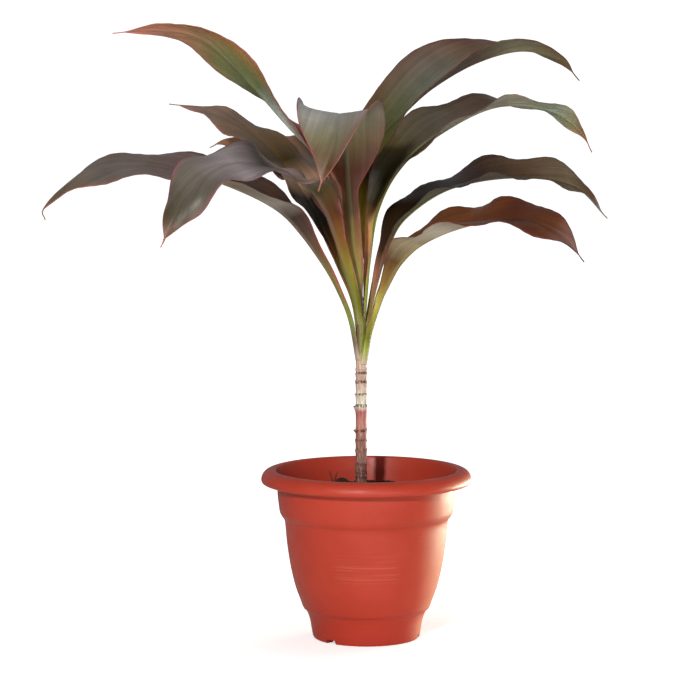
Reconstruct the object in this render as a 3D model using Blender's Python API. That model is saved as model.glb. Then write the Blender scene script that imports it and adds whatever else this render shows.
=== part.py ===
"""Ti plant (Cordyline) in its round plastic pot, every sub-part a closed solid.

Metres, +Z up, X to the right and Y away from the viewer. The origin is the centre of the pot's underside.
Dimensions are written in millimetres and multiplied by MM where the meshes are made.
"""
import math

import bmesh
import bpy
import numpy as np
from mathutils import Matrix

MM = 0.001
GAP = 0.3

# The pot: an eight inch nursery planter with a rolled rim, a stepped collar and a waisted foot
POT_SIDES = 48
POT_INSIDE = [(0, 8), (48.3, 8), (50, 14), (56.8, 29), (65.5, 51), (70, 72), (73, 92), (75, 113),
              (79.8, 121), (82.3, 141), (85.5, 160)]
POT_RIM = [(87.5, 162), (92, 162), (96.4, 160), (99.2, 156.6), (100.2, 152.8), (99.5, 150),
           (97, 148.7), (86.2, 148.5), (85.3, 147)]
POT_OUTSIDE = [(84.1, 132), (82.9, 122.5), (81.8, 119.5), (78.8, 115.5), (77.6, 112), (75.6, 90),
               (72.6, 70), (68.2, 51), (63.6, 38), (61.2, 31.2), (60, 29), (57.6, 26.8), (55.6, 22.8),
               (53.8, 17), (52.6, 10), (51.2, 3), (49, 0)]
POT_UNDERSIDE = [(42, 0), (41, 1), (40, 5), (17, 5), (16, 1), (15, 0), (0, 0)]
FOOT_NOTCH_WIDTH = 11.5
FOOT_NOTCH_HEIGHT = 4
FOOT_NOTCH_RUN = (37, 57)
FOOT_NOTCH_AZIMUTHS = (228, 348, 108)
DRAIN_HOLES = 6
DRAIN_HOLE_RADIUS = 4.5
DRAIN_HOLE_CIRCLE = 29
DRAIN_HOLE_RUN = (0.5, 12.5)

# The soil: fills the pot to 24 mm under the rim, with a plain hole for the stem and one clod behind it
SOIL_TOP = 138
SOIL_EDGE = 81.4
SOIL_RINGS = (70, 60, 50, 40, 28, 15)
SOIL_LUMP = 1.3
BROAD_LUMP_LENGTH = 44
FINE_LUMP_LENGTH = 17
FINE_LUMP_SHARE = 0.6
CLOD_HEIGHT = 10
CLOD_PLACE = (-22, 44)
CLOD_REACH = 9

# The stem: stands 5 mm to the left of the pot's axis, ringed where old leaves have dropped
STEM_X = -5
STEM_SIDES = 16
STEM_FOOT = 70
STEM_RADIUS = 5.3
STEM_FLARE = 0.6
STEM_RINGS = (134, 141, 148, 155, 160, 167, 181, 190, 200, 223, 234, 246, 254)
STEM_RING_HEIGHT = 1.2
STEM_CORE = [(5.3, 258), (4.1, 260.5), (3.9, 276), (3.1, 281.5), (2.65, 290), (2.3, 299), (2.05, 316),
             (1.6, 321.5)]
HOLE_OVERRUN = 12

# The leaves: each is a clasping foot, a channelled stalk and a folded blade with a thread at its tip.
# Places along a leaf are shares of its length; the powers say how fast the blade widens and narrows
LEAF_ROWS = 31
LEAF_COLUMNS = 6
LEAF_ROUGHNESS = 0.38
PATH_STEPS = 24
SECTION_STEPS = 16
CLASP_END = 0.16
STALK_END = 0.24
STALK_HALF_WIDTH = 6.9
STALK_FOLD = 10
STALK_BEND = 42
CLASP_BEND = 82
BLADE_OPENING = 1.1
BLADE_CLOSING = 1.05
TIP_HALF_WIDTH = 0.55
TIP_START = 0.975
WAVES_FADE = 0.86
WAVE_REACH = 2.2
MARGIN_THICKNESS = 0.7
FOOT_THICKNESS = 0.8
FOOT_RIB_THICKNESS = 0.9
RIB_THICKNESS = 2.8
RIB_FADE = 1.8
FOOT_INWARD = (0.12, 0.3)

# Per leaf: the path of the midrib from foot to tip, then values spaced evenly along it: the compass heading,
# the roll about the midrib, the fold at the midrib and the extra bend out to the margins, all in degrees
LEAVES = {
    "leaf_right_low": dict(
        path=[(0.3, -1.4, 262), (5, -5, 290), (11, -11, 312), (18, -21, 336), (31, -36, 362),
              (54, -54, 383), (94, -82, 400), (141, -106, 407), (177, -122, 392), (196, -128, 369)],
        heading=(-15, -25, -25, -22, -18), roll=(0, 0, 2, 7, 13, 13, 22, 34, 30),
        fold=(30, 38, 44, 43, 29, 25, 20, 16, 10), bend=(20, 10, -5, -15, -20), width=66, foot=7.4, waves=4,
        ripple=3.5, phase=(0.45, 0.76),
        colour=(0.12, 0.045, 0.03)),
    "leaf_right_third": dict(
        path=[(-0.3, 0.7, 282), (4, 6, 306), (11, 13, 338), (20, 24, 373), (38, 40, 401), (81, 60, 427),
              (144, 80, 436), (202, 92, 427), (236, 98, 395)],
        heading=(8, 15, 15, 15, 12), roll=(0, 0, 15, 12, 0, 11, 24, 38, 34),
        fold=(30, 34, 42, 36, 12, 25, 26, 29, 20), bend=(20, 10, -5, -8, -10), width=64, foot=6.0,
        waves=4.6, ripple=3.5, phase=(0.95, 0.68),
        colour=(0.05, 0.035, 0.025)),
    "leaf_right_second": dict(
        path=[(-1.1, 0.3, 299), (1, 3, 325), (4, 8, 361), (9, 15, 406), (31, 22, 447), (70, 30, 480),
              (123, 40, 505), (174, 48, 502), (205, 54, 482), (217, 56, 461)],
        heading=(2, 9, 12, 10, 8), roll=(0, 8, 26, 38, 27, 10, -5, -20, -25), fold=(30, 52, 38, 18, 5),
        bend=(20, 10, -5, -15, -20), width=70, foot=4.8, waves=4.5, ripple=3.5, phase=(0.3, 0.55),
        colour=(0.09, 0.085, 0.06)),
    "leaf_right_top": dict(
        path=[(-4.4, 3.7, 321.5), (-6.5, 22.5, 339), (-4, 44, 392), (1, 62, 436), (11, 74, 469),
              (32, 84, 493), (64, 92, 522), (108, 98, 547), (152, 100, 558), (189, 102, 548),
              (208, 104, 529)],
        heading=(74, 36, 18, 12, 10), roll=(0, 10, 34, 46, 36, 24, 8, -20, -25), fold=(30, 40, 50, 34, 10),
        bend=(20, 10, -5, -10, -20), width=80, foot=2.7, waves=3, ripple=2, phase=(0.2, 0.6),
        colour=(0.1, 0.09, 0.06)),
    "leaf_left_top": dict(
        path=[(-7.5, 0.5, 322), (-13, 11, 346), (-20, 19, 393), (-29, 28, 431), (-47, 38, 459),
              (-74, 48, 487), (-111, 56, 527), (-155, 60, 568), (-198, 60, 578), (-243, 58, 575)],
        heading=(160, 168, 170, 174, 178), roll=(0, 0, -30, -26, 8, 34, 40, 30, 20),
        fold=(30, 30, 20, 10, 0), bend=(20, 10, -10, -20, -20), width=56, foot=2.4, waves=3, ripple=2.5,
        phase=(0.75, 0.5),
        colour=(0.14, 0.12, 0.05)),
    "leaf_left_second": dict(
        path=[(-9.1, 2.2, 289), (-14, 5, 321), (-25, 14, 349), (-39, 40, 382), (-58, 84, 417),
              (-86, 112, 454), (-123, 138, 483), (-160, 158, 500), (-196, 172, 505)],
        heading=(152, 155, 148, 148, 150), roll=(0, -5, -15, -24, -14, -10, -14, -20, -20),
        fold=(30, 30, 25, 10, 0), bend=(20, 10, -10, -20, -20), width=54, foot=4.4, waves=4.35, ripple=3.5,
        phase=(0.64, 0.52),
        colour=(0.12, 0.09, 0.075)),
    "leaf_left_long": dict(
        path=[(-10.4, 0, 266), (-17, -2, 303), (-27, -6, 330), (-40, -12, 358), (-58, -22, 386),
              (-81, -36, 411), (-118, -50, 431), (-163, -60, 446), (-218, -66, 454), (-264, -68, 442),
              (-297, -68, 415), (-297, -67, 403)],
        heading=(180, 188, 190, 188, 184), roll=(0, 0, 0, -5, -14, -20, -22, -25, -25),
        fold=(30, 44, 30, 10, 0), bend=(20, 10, -10, -20, -20), width=64, foot=7.3, waves=4, ripple=3,
        phase=(0.2, 0.6),
        colour=(0.13, 0.105, 0.1)),
    "leaf_front_left": dict(
        path=[(-7.4, -4.0, 299), (-11, -14, 321), (-19, -28, 352), (-29, -46, 387), (-39, -64, 414),
              (-55, -86, 436), (-83, -112, 452), (-116, -138, 459), (-145, -160, 449), (-167, -176, 420),
              (-183, -184, 386)],
        heading=(242, 238, 230, 236, 258), roll=(0, 0, 0, -4, -16, -26, -14, -8, 0),
        fold=(30, 42, 16, 10, 0), bend=(20, 10, -5, -15, -20), width=64, foot=3.9, waves=4.1, ripple=6,
        phase=(0.13, 0.13), closing=0.85,
        colour=(0.14, 0.125, 0.115)),
    "leaf_front_middle": dict(
        path=[(-5.3, -3.7, 310.5), (-8, -8, 334), (-12, -16, 377), (-16, -28, 424), (-19, -48, 467),
              (-24, -78, 498), (-26, -114, 499), (-32, -140, 470), (-44, -150, 434)],
        heading=(266, 262, 250, 240, 235), roll=(0, 0), fold=(30, 25, 20, 14, 10, 5, 6, 18, 15),
        bend=(20, 20, 20, 20, 20, 20, 20, 20, 25, 40, 70, 85, 70, 35, 15, 10, 0),
        width=85, foot=3.3, waves=2, ripple=1, phase=(0.2, 0.6), edge=6, stalk=0.36, closing=1.1,
        colour=(0.22, 0.19, 0.18)),
    "leaf_back_left": dict(
        path=[(-6.3, 3.2, 315), (-8, 21, 333), (-18, 50, 367), (-33, 82, 399), (-55, 126, 431),
              (-83, 168, 454), (-117, 204, 466), (-143, 226, 466), (-159, 240, 459)],
        heading=(112, 122, 124, 126, 128), roll=(0, 0, 0, -5, -10, -10, -15, -20, -20),
        fold=(30, 30, 20, 10, 0), bend=(20, 10, -10, -20, -20), width=58, foot=3.2, waves=5, ripple=4,
        phase=(0.2, 0.6),
        colour=(0.25, 0.11, 0.04)),
}


def material(name, colour, roughness):
    """Plain Principled material."""
    made = bpy.data.materials.new(name)
    made.use_nodes = True
    shader = made.node_tree.nodes["Principled BSDF"]
    shader.inputs["Base Color"].default_value = (*colour, 1)
    shader.inputs["Roughness"].default_value = roughness
    shader.inputs["Metallic"].default_value = 0
    made.diffuse_color = (*colour, 1)
    return made


def add_object(name, bm, look, smooth_angle=35):
    """Turns a bmesh into a named object of the scene, shaded smooth up to an angle."""
    mesh = bpy.data.meshes.new(name)
    bm.to_mesh(mesh)
    bm.free()
    mesh.shade_smooth()
    mesh.set_sharp_from_angle(angle=math.radians(smooth_angle))
    made = bpy.data.objects.new(name, mesh)
    bpy.context.scene.collection.objects.link(made)
    made.data.materials.append(look)
    return made


def turned(name, profile, sides, look, centre_x=0):
    """Solid of revolution: a profile in mm, (radius, height), turned about the upright axis."""
    bm = bmesh.new()
    points = [bm.verts.new((radius * MM, 0, height * MM)) for radius, height in profile]
    for first, second in zip(points, points[1:]):
        bm.edges.new((first, second))
    made = add_object(name, bm, look)
    made.location.x = centre_x * MM
    screw = made.modifiers.new("turn", "SCREW")
    screw.steps = screw.render_steps = sides
    screw.use_merge_vertices = True
    screw.merge_threshold = 0.00001
    screw.use_smooth_shade = True
    return made


def cut(target, cutter):
    """Subtracts a closed cutter, which stays in the file as a wire guide."""
    cutter.hide_render = True
    cutter.display_type = "WIRE"
    boolean = target.modifiers.new(cutter.name, "BOOLEAN")
    boolean.operation = "DIFFERENCE"
    boolean.solver = "EXACT"
    boolean.object = cutter


def smooth_through(values, share):
    """Value at each share (0 to 1) of a smooth curve through evenly spaced values."""
    values = np.asarray(values, float)
    ends = (2 * values[:1] - values[1:2], 2 * values[-1:] - values[-2:-1])
    run = np.concatenate([ends[0], values, ends[1]])
    place = np.clip(share, 0, 1) * (len(values) - 1)
    left = np.minimum(place.astype(int), len(values) - 2)
    t = place - left
    if values.ndim > 1:
        t = t[:, None]
    a, b, c, d = run[left], run[left + 1], run[left + 2], run[left + 3]
    return 0.5 * (2 * b + (c - a) * t + (2 * a - 5 * b + 4 * c - d) * t**2 + (3 * b - a - 3 * c + d) * t**3)


def even_path(points, count):
    """Points spaced evenly by length along a smooth curve through the given ones."""
    fine = smooth_through(points, np.linspace(0, 1, PATH_STEPS * (len(points) - 1) + 1))
    gone = np.concatenate([[0], np.cumsum(np.linalg.norm(np.diff(fine, axis=0), axis=1))])
    wanted = np.linspace(0, gone[-1], count)
    return np.stack([np.interp(wanted, gone, fine[:, axis]) for axis in range(3)], axis=-1)


def ease(start, stop, x):
    """Rises smoothly from 0 to 1 between start and stop."""
    t = np.clip((x - start) / (stop - start), 0, 1)
    return t * t * (3 - 2 * t)


def leaf_sheet(leaf, rows, columns):
    """Upper surface of a leaf in mm, (rows + 1) x (columns + 1) points, and its thickness at each."""
    share = np.linspace(0, 1, rows + 1)
    across = np.linspace(-1, 1, columns + 1)
    rib = even_path(leaf["path"], rows + 1)
    tangent = np.gradient(rib, axis=0)
    tangent /= np.linalg.norm(tangent, axis=1)[:, None]

    # Frame along the midrib: sideways to the heading, then rolled about the midrib
    heading = np.radians(smooth_through(leaf["heading"], share))
    level = np.stack([-np.sin(heading), np.cos(heading), 0 * heading], axis=-1)
    side = level - np.sum(level * tangent, axis=1)[:, None] * tangent
    side /= np.linalg.norm(side, axis=1)[:, None]
    up = np.cross(tangent, side)
    roll = np.radians(smooth_through(leaf["roll"], share))[:, None]
    side, up = side * np.cos(roll) + up * np.sin(roll), up * np.cos(roll) - side * np.sin(roll)

    # Half width: the clasping foot, the stalk, the blade and the thread at the tip
    stalk_end = leaf.get("stalk", STALK_END)
    closing = leaf.get("closing", BLADE_CLOSING)
    along_blade = np.clip((share - stalk_end) / (TIP_START - stalk_end), 0, 1)
    blade = along_blade**BLADE_OPENING * (1 - along_blade) ** closing
    fullest = BLADE_OPENING / (BLADE_OPENING + closing)
    blade *= leaf["width"] / 2 / (fullest**BLADE_OPENING * (1 - fullest) ** closing)
    clasp = 1 - ease(0.02, CLASP_END, share)
    stalk = STALK_HALF_WIDTH + (leaf["foot"] - STALK_HALF_WIDTH) * clasp
    stalk *= 1 - ease(stalk_end + 0.1, stalk_end + 0.45, share)
    half = np.sqrt(blade**2 + stalk**2 + TIP_HALF_WIDTH**2)

    # Section: a round channel at the foot that opens into the folded blade
    opened = ease(stalk_end - 0.12, stalk_end + 0.15, share)
    fold = smooth_through(leaf["fold"], share) * opened + STALK_FOLD * (1 - opened) * (1 - clasp)
    channel = STALK_BEND + (CLASP_BEND - STALK_BEND) * clasp
    bend = smooth_through(leaf["bend"], share) * opened + channel * (1 - opened)
    out = np.zeros((rows + 1, columns + 1))
    rise = np.zeros((rows + 1, columns + 1))
    steps = (np.arange(SECTION_STEPS) + 0.5) / SECTION_STEPS
    for column, v in enumerate(across):
        angle = np.radians(fold[:, None] + bend[:, None] * (abs(v) * steps[None, :]) ** leaf.get("edge", 1))
        out[:, column] = half * v * np.cos(angle).mean(axis=1)
        rise[:, column] = half * abs(v) * np.sin(angle).mean(axis=1)

    # Waves along the two margins
    height = leaf["ripple"] * ease(stalk_end, stalk_end + 0.2, share) * (1 - ease(WAVES_FADE, 1, share))
    phase = np.where(across > 0, leaf["phase"][1], leaf["phase"][0])
    turns = leaf["waves"] * along_blade[:, None] + phase[None, :]
    rise += height[:, None] * np.abs(across)[None, :] ** WAVE_REACH * np.sin(2 * math.pi * turns)
    points = rib[:, None] + out[..., None] * side[:, None] + rise[..., None] * up[:, None]

    # Thickness: a strong midrib that fades toward the tip, and thin margins
    rib_now = FOOT_RIB_THICKNESS + (RIB_THICKNESS - FOOT_RIB_THICKNESS) * ease(0.08, 0.25, share)
    rib_now -= RIB_FADE * ease(stalk_end, 0.75, share)
    rib_reach = 1 - 0.75 * ease(stalk_end - 0.05, stalk_end + 0.2, share)
    margin = FOOT_THICKNESS + (MARGIN_THICKNESS - FOOT_THICKNESS) * ease(0.1, 0.25, share)
    near_rib = np.clip(1 - np.abs(across)[None, :] / rib_reach[:, None], 0, 1)
    thickness = margin[:, None] + (rib_now - margin)[:, None] * near_rib

    # The blade thickens downward; the foot thickens toward the stem, so its sheet moves in by as much
    normal = np.cross(np.gradient(points, axis=0), np.gradient(points, axis=1))
    normal /= np.linalg.norm(normal, axis=2)[..., None]
    points += normal * (thickness * (1 - ease(*FOOT_INWARD, share))[:, None])[..., None]
    return points, thickness


def add_leaf(name, leaf, look):
    """A leaf: a flat grid shaped to the sheet, split into triangles and thickened on its underside."""
    points, thickness = leaf_sheet(leaf, LEAF_ROWS, LEAF_COLUMNS)
    bm = bmesh.new()
    bmesh.ops.create_grid(bm, x_segments=LEAF_ROWS, y_segments=LEAF_COLUMNS, size=1)
    weights = {}
    for vert in bm.verts:
        row = round((vert.co.x + 1) / 2 * LEAF_ROWS)
        column = round((vert.co.y + 1) / 2 * LEAF_COLUMNS)
        vert.co = points[row, column] * MM
        weights[vert.index] = float(thickness[row, column] / RIB_THICKNESS)
    bmesh.ops.triangulate(bm, faces=bm.faces[:], quad_method="FIXED")
    bm.normal_update()
    made = add_object(name, bm, look, smooth_angle=60)
    group = made.vertex_groups.new(name="thickness")
    for index, weight in weights.items():
        group.add([index], weight, "REPLACE")
    solidify = made.modifiers.new("thickness", "SOLIDIFY")
    solidify.thickness = RIB_THICKNESS * MM
    solidify.offset = -1
    solidify.vertex_group = group.name
    solidify.use_even_offset = False
    return made


for old in list(bpy.data.objects):
    bpy.data.objects.remove(old, do_unlink=True)

# Pot
pot = turned("pot", POT_INSIDE + POT_RIM + POT_OUTSIDE + POT_UNDERSIDE, POT_SIDES,
             material("brick red plastic", (0.50, 0.075, 0.035), 0.42))
for number, azimuth in enumerate(FOOT_NOTCH_AZIMUTHS):
    bm = bmesh.new()
    bmesh.ops.create_cube(bm, size=1)
    notch_length = FOOT_NOTCH_RUN[1] - FOOT_NOTCH_RUN[0]
    notch_middle = sum(FOOT_NOTCH_RUN) / 2
    size = (notch_length * MM, FOOT_NOTCH_WIDTH * MM, 2 * FOOT_NOTCH_HEIGHT * MM)
    bmesh.ops.scale(bm, verts=bm.verts, vec=size)
    bmesh.ops.translate(bm, verts=bm.verts, vec=(notch_middle * MM, 0, 0))
    bmesh.ops.rotate(bm, verts=bm.verts, matrix=Matrix.Rotation(math.radians(azimuth), 3, "Z"))
    cut(pot, add_object(f"foot notch cutter {number}", bm, pot.data.materials[0]))
for number in range(DRAIN_HOLES):
    azimuth = 2 * math.pi * number / DRAIN_HOLES
    bm = bmesh.new()
    bmesh.ops.create_cone(bm, cap_ends=True, segments=12, radius1=DRAIN_HOLE_RADIUS * MM,
                          radius2=DRAIN_HOLE_RADIUS * MM, depth=(DRAIN_HOLE_RUN[1] - DRAIN_HOLE_RUN[0]) * MM)
    place = (DRAIN_HOLE_CIRCLE * math.cos(azimuth) * MM, DRAIN_HOLE_CIRCLE * math.sin(azimuth) * MM,
             sum(DRAIN_HOLE_RUN) / 2 * MM)
    bmesh.ops.translate(bm, verts=bm.verts, vec=place)
    cut(pot, add_object(f"drain hole cutter {number}", bm, pot.data.materials[0]))

# Soil
soil_side = [(radius - GAP, height) for radius, height in reversed(POT_INSIDE[1:9])]
soil_side[-1] = (soil_side[-1][0], soil_side[-1][1] + GAP)
soil_top = [(0, SOIL_TOP)] + [(radius, SOIL_TOP) for radius in reversed(SOIL_RINGS)]
soil_top += [(SOIL_EDGE, SOIL_TOP - 1)]
soil_profile = soil_top + soil_side + [(0, POT_INSIDE[0][1] + GAP)]
bm = bmesh.new()
points = [bm.verts.new((radius * MM, 0, height * MM)) for radius, height in soil_profile]
edges = [bm.edges.new(pair) for pair in zip(points, points[1:])]
bmesh.ops.spin(bm, geom=points + edges, axis=(0, 0, 1), cent=(0, 0, 0), angle=2 * math.pi, steps=POT_SIDES,
               use_merge=True)
bmesh.ops.remove_doubles(bm, verts=bm.verts, dist=0.00001)
for vert in bm.verts:
    x, y, z = vert.co / MM
    if z > SOIL_TOP - 0.5:
        turn = 2 * math.pi / BROAD_LUMP_LENGTH
        broad = math.sin(turn * x + 1.3) * math.cos(turn * y)
        fine = math.sin(2 * math.pi * (0.75 * x - 0.65 * y) / FINE_LUMP_LENGTH + 0.8)
        lumps = broad + FINE_LUMP_SHARE * fine
        away = math.hypot(x - CLOD_PLACE[0], y - CLOD_PLACE[1]) / CLOD_REACH
        vert.co.z += (SOIL_LUMP * lumps + CLOD_HEIGHT * math.exp(-(away**2))) * MM
bmesh.ops.recalc_face_normals(bm, faces=bm.faces)
soil = add_object("soil", bm, material("dark potting soil", (0.045, 0.022, 0.014), 0.95))
bm = bmesh.new()
hole_depth = SOIL_TOP + HOLE_OVERRUN - (STEM_FOOT - GAP)
hole_radius = (STEM_RADIUS + STEM_FLARE + 2 * GAP) * MM
bmesh.ops.create_cone(bm, cap_ends=True, segments=STEM_SIDES, radius1=hole_radius, radius2=hole_radius,
                      depth=hole_depth * MM)
bmesh.ops.translate(bm, verts=bm.verts, vec=(STEM_X * MM, 0, (STEM_FOOT - GAP + hole_depth / 2) * MM))
cut(soil, add_object("stem hole cutter", bm, soil.data.materials[0]))

# Stem: each length between two rings flares upward and steps back in at the ring
stem_profile = [(0, STEM_CORE[-1][1])] + list(reversed(STEM_CORE))
for ring in reversed(STEM_RINGS):
    stem_profile.append((STEM_RADIUS, ring + STEM_RING_HEIGHT / 2))
    stem_profile.append((STEM_RADIUS + STEM_FLARE, ring - STEM_RING_HEIGHT / 2))
stem_profile += [(STEM_RADIUS, STEM_FOOT + 1), (STEM_RADIUS - 1, STEM_FOOT), (0, STEM_FOOT)]
turned("stem", stem_profile, STEM_SIDES, material("ringed stem", (0.30, 0.16, 0.12), 0.65), centre_x=STEM_X)

# Leaves
for name, leaf in LEAVES.items():
    add_leaf(name, leaf, material(name.replace("_", " "), leaf["colour"], LEAF_ROUGHNESS))
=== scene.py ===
import math
import random

import bmesh
import bpy
import numpy as np
from mathutils import Matrix, Vector, noise


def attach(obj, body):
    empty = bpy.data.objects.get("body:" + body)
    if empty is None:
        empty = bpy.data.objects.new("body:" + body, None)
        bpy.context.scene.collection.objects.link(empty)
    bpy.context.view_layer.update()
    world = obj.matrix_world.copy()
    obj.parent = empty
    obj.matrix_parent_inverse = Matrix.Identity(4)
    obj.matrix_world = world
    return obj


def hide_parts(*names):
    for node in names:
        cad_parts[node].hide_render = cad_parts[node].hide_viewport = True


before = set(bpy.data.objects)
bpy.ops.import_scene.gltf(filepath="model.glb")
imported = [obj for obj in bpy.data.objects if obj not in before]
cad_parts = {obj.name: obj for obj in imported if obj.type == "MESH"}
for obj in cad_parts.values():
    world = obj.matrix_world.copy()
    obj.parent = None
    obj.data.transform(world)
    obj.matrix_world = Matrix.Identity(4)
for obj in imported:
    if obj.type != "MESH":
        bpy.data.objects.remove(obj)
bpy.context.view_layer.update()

MM = 0.001


# The pot: an eight inch nursery planter, moulded in one piece of brick-red polypropylene with a satin face.
# The mould leaves a rolled rim, a stepped collar and a waisted foot with three notches and six drain holes.
# Its section runs from the axis up the inside and down the outside, as (radius, height) in mm.
POT_STEPS = 192
POT_FLOOR = [(0, 8), (47, 8)]
POT_WALL_INSIDE = [(48.3, 8.4), (50, 14), (56.8, 29), (65.5, 51), (70, 72), (73, 92), (75, 113)]
POT_COLLAR_INSIDE = [(76.2, 117.5), (79.8, 121), (81, 129), (82.3, 141), (84, 152), (85.5, 159)]
POT_RIM = [(86.3, 161.2), (88.4, 162), (92.3, 161.8), (96.4, 160), (99.2, 156.6), (100.2, 152.8), (99.5, 150),
           (97, 148.7), (93.5, 148.5)]
POT_UNDER_RIM = [(86.4, 148.5), (85.5, 147.6)]
POT_COLLAR = [(85.2, 145), (84.5, 136), (83.7, 129), (82.9, 122.8)]
POT_STEP = [(82.4, 120.8), (80.6, 117.4), (78.8, 115.2), (77.9, 112.6)]
POT_BODY = [(77.5, 110), (75.6, 90), (72.6, 70), (68.2, 51), (63.6, 38), (61.2, 31.2)]
POT_FOOT = [(60, 29), (57.6, 26.8), (55.6, 22.8), (53.8, 17), (52.6, 10), (51.6, 4.5), (50.6, 1.2), (49, 0)]
POT_UNDERSIDE = [(42, 0), (41.2, 0.6), (40, 5), (17, 5), (16, 0.8), (15, 0), (0, 0)]
NOTCH_WIDTH = 11.5
NOTCH_HEIGHT = 4
NOTCH_RUN = (37, 57)
NOTCH_AZIMUTHS = (228, 348, 108)
DRAIN_RADIUS = 4.5
DRAIN_CIRCLE = 29
DRAIN_RUN = (0.5, 12.5)
DRAIN_AZIMUTHS = range(0, 360, 60)
WELD = 0.01
SCUFF_FRONT = (-50, -68)
SCUFF_HALF_WIDTH = (34, 24)
SCUFF_FOOT = (62, 68)
SCUFF_TOP = (92, 86)
CREASE_HEIGHT = 148.2
CREASE_HALF_HEIGHT = (1.6, 0.6)
CREASE_INSIDE = (84.5, 85.2)
CREASE_OUTSIDE = (90.5, 88.5)
FOOT_SHADE_RUN = (60, 0)
LIT_SIDE_RUN = (30, 60)


def smooth_through(values, share):
    """Value at each share, 0 to 1, of a smooth curve through evenly spaced values."""
    values = np.asarray(values, float)
    run = np.concatenate([2 * values[:1] - values[1:2], values, 2 * values[-1:] - values[-2:-1]])
    place = np.clip(share, 0, 1) * (len(values) - 1)
    left = np.minimum(place.astype(int), len(values) - 2)
    t = place - left
    if values.ndim > 1:
        t = t[:, None]
    a, b, c, d = run[left], run[left + 1], run[left + 2], run[left + 3]
    return 0.5 * (2 * b + (c - a) * t + (2 * a - 5 * b + 4 * c - d) * t**2 + (3 * b - a - 3 * c + d) * t**3)


def finer(points, steps):
    """The same run of a profile with `steps` points between each two, rounded through them."""
    return [tuple(p) for p in smooth_through(points, np.linspace(0, 1, steps * (len(points) - 1) + 1))]


def spun(profile, steps):
    """A closed turned bmesh from a profile in mm, (radius, height), that starts and ends on the axis."""
    bm = bmesh.new()
    points = [bm.verts.new((radius * MM, 0, height * MM)) for radius, height in profile]
    edges = [bm.edges.new(pair) for pair in zip(points, points[1:])]
    bmesh.ops.spin(bm, geom=points + edges, axis=(0, 0, 1), cent=(0, 0, 0), angle=2 * math.pi, steps=steps,
                   use_merge=True)
    bmesh.ops.remove_doubles(bm, verts=bm.verts, dist=WELD * MM)
    bmesh.ops.recalc_face_normals(bm, faces=bm.faces)
    return bm


def object_of(name, bm, smooth_angle=40):
    """An object with this bmesh as its mesh, shaded smooth up to an angle in degrees."""
    mesh = bpy.data.meshes.new(name)
    bm.to_mesh(mesh)
    bm.free()
    mesh.shade_smooth()
    mesh.set_sharp_from_angle(angle=math.radians(smooth_angle))
    made = bpy.data.objects.new(name, mesh)
    bpy.context.scene.collection.objects.link(made)
    return made


def apply_modifiers(piece):
    """Replaces a piece's mesh by its finished form."""
    finished = bpy.data.meshes.new_from_object(piece.evaluated_get(bpy.context.evaluated_depsgraph_get()))
    piece.modifiers.clear()
    piece.data = finished


def add_node(tree, kind, settings=None, **inputs):
    """A node of a material or group; an input, named or numbered as in i0, is a value or a linked socket."""
    made = tree.nodes.new("ShaderNode" + kind)
    for key, value in (settings or {}).items():
        setattr(made, key, value)
    for key, value in inputs.items():
        socket = made.inputs[int(key[1:])] if key[1:].isdigit() else made.inputs[key.replace("_", " ")]
        if isinstance(value, bpy.types.NodeSocket):
            tree.links.new(value, socket)
        else:
            socket.default_value = value
    return made


def maths(tree, operation, first, second=0.5, third=0.5, clamp=False):
    """Result of a Math node."""
    made = add_node(tree, "Math", dict(operation=operation, use_clamp=clamp), i0=first, i1=second, i2=third)
    return made.outputs[0]


def times(tree, first, *others):
    """Product of values."""
    for other in others:
        first = maths(tree, "MULTIPLY", first, other)
    return first


def between(tree, value, low, high, out_low=0.0, out_high=1.0):
    """A value carried smoothly from the range low to high onto another, and held at its ends."""
    made = add_node(tree, "MapRange", dict(interpolation_type="SMOOTHSTEP"), Value=value, From_Min=low,
                    From_Max=high, To_Min=out_low, To_Max=out_high)
    return made.outputs[0]


def mixed(tree, factor, first, second, blend="MIX"):
    """Mix of two colours."""
    made = add_node(tree, "Mix", dict(data_type="RGBA", blend_type=blend), i0=factor, i6=first, i7=second)
    return made.outputs[2]


def zone(tree, value, edges):
    """A mask that rises from 0 to 1 between two edges in mm."""
    return between(tree, value, edges[0] * MM, edges[1] * MM)


def object_place(tree, scale=(1, 1, 1)):
    """Object coordinates, stretched."""
    place = add_node(tree, "TexCoord")
    return add_node(tree, "Mapping", Vector=place.outputs["Object"], Scale=scale).outputs[0]


def grain(tree, place, scale, detail=3.0, roughness=0.55):
    """Noise at a scale per metre."""
    made = add_node(tree, "TexNoise", Vector=place, Scale=scale, Detail=detail, Roughness=roughness)
    return made.outputs["Fac"]


def new_material(name, roughness=0.5):
    """A material, its node tree and its shader."""
    made = bpy.data.materials.new(name)
    made.use_nodes = True
    shader = made.node_tree.nodes["Principled BSDF"]
    shader.inputs["Roughness"].default_value = roughness
    return made, made.node_tree, shader


def raise_surface(tree, shader, height, distance):
    """Bump from a height between 0 and 1, `distance` metres deep."""
    bump = add_node(tree, "Bump", Height=height, Distance=distance)
    tree.links.new(bump.outputs[0], shader.inputs["Normal"])


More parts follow.
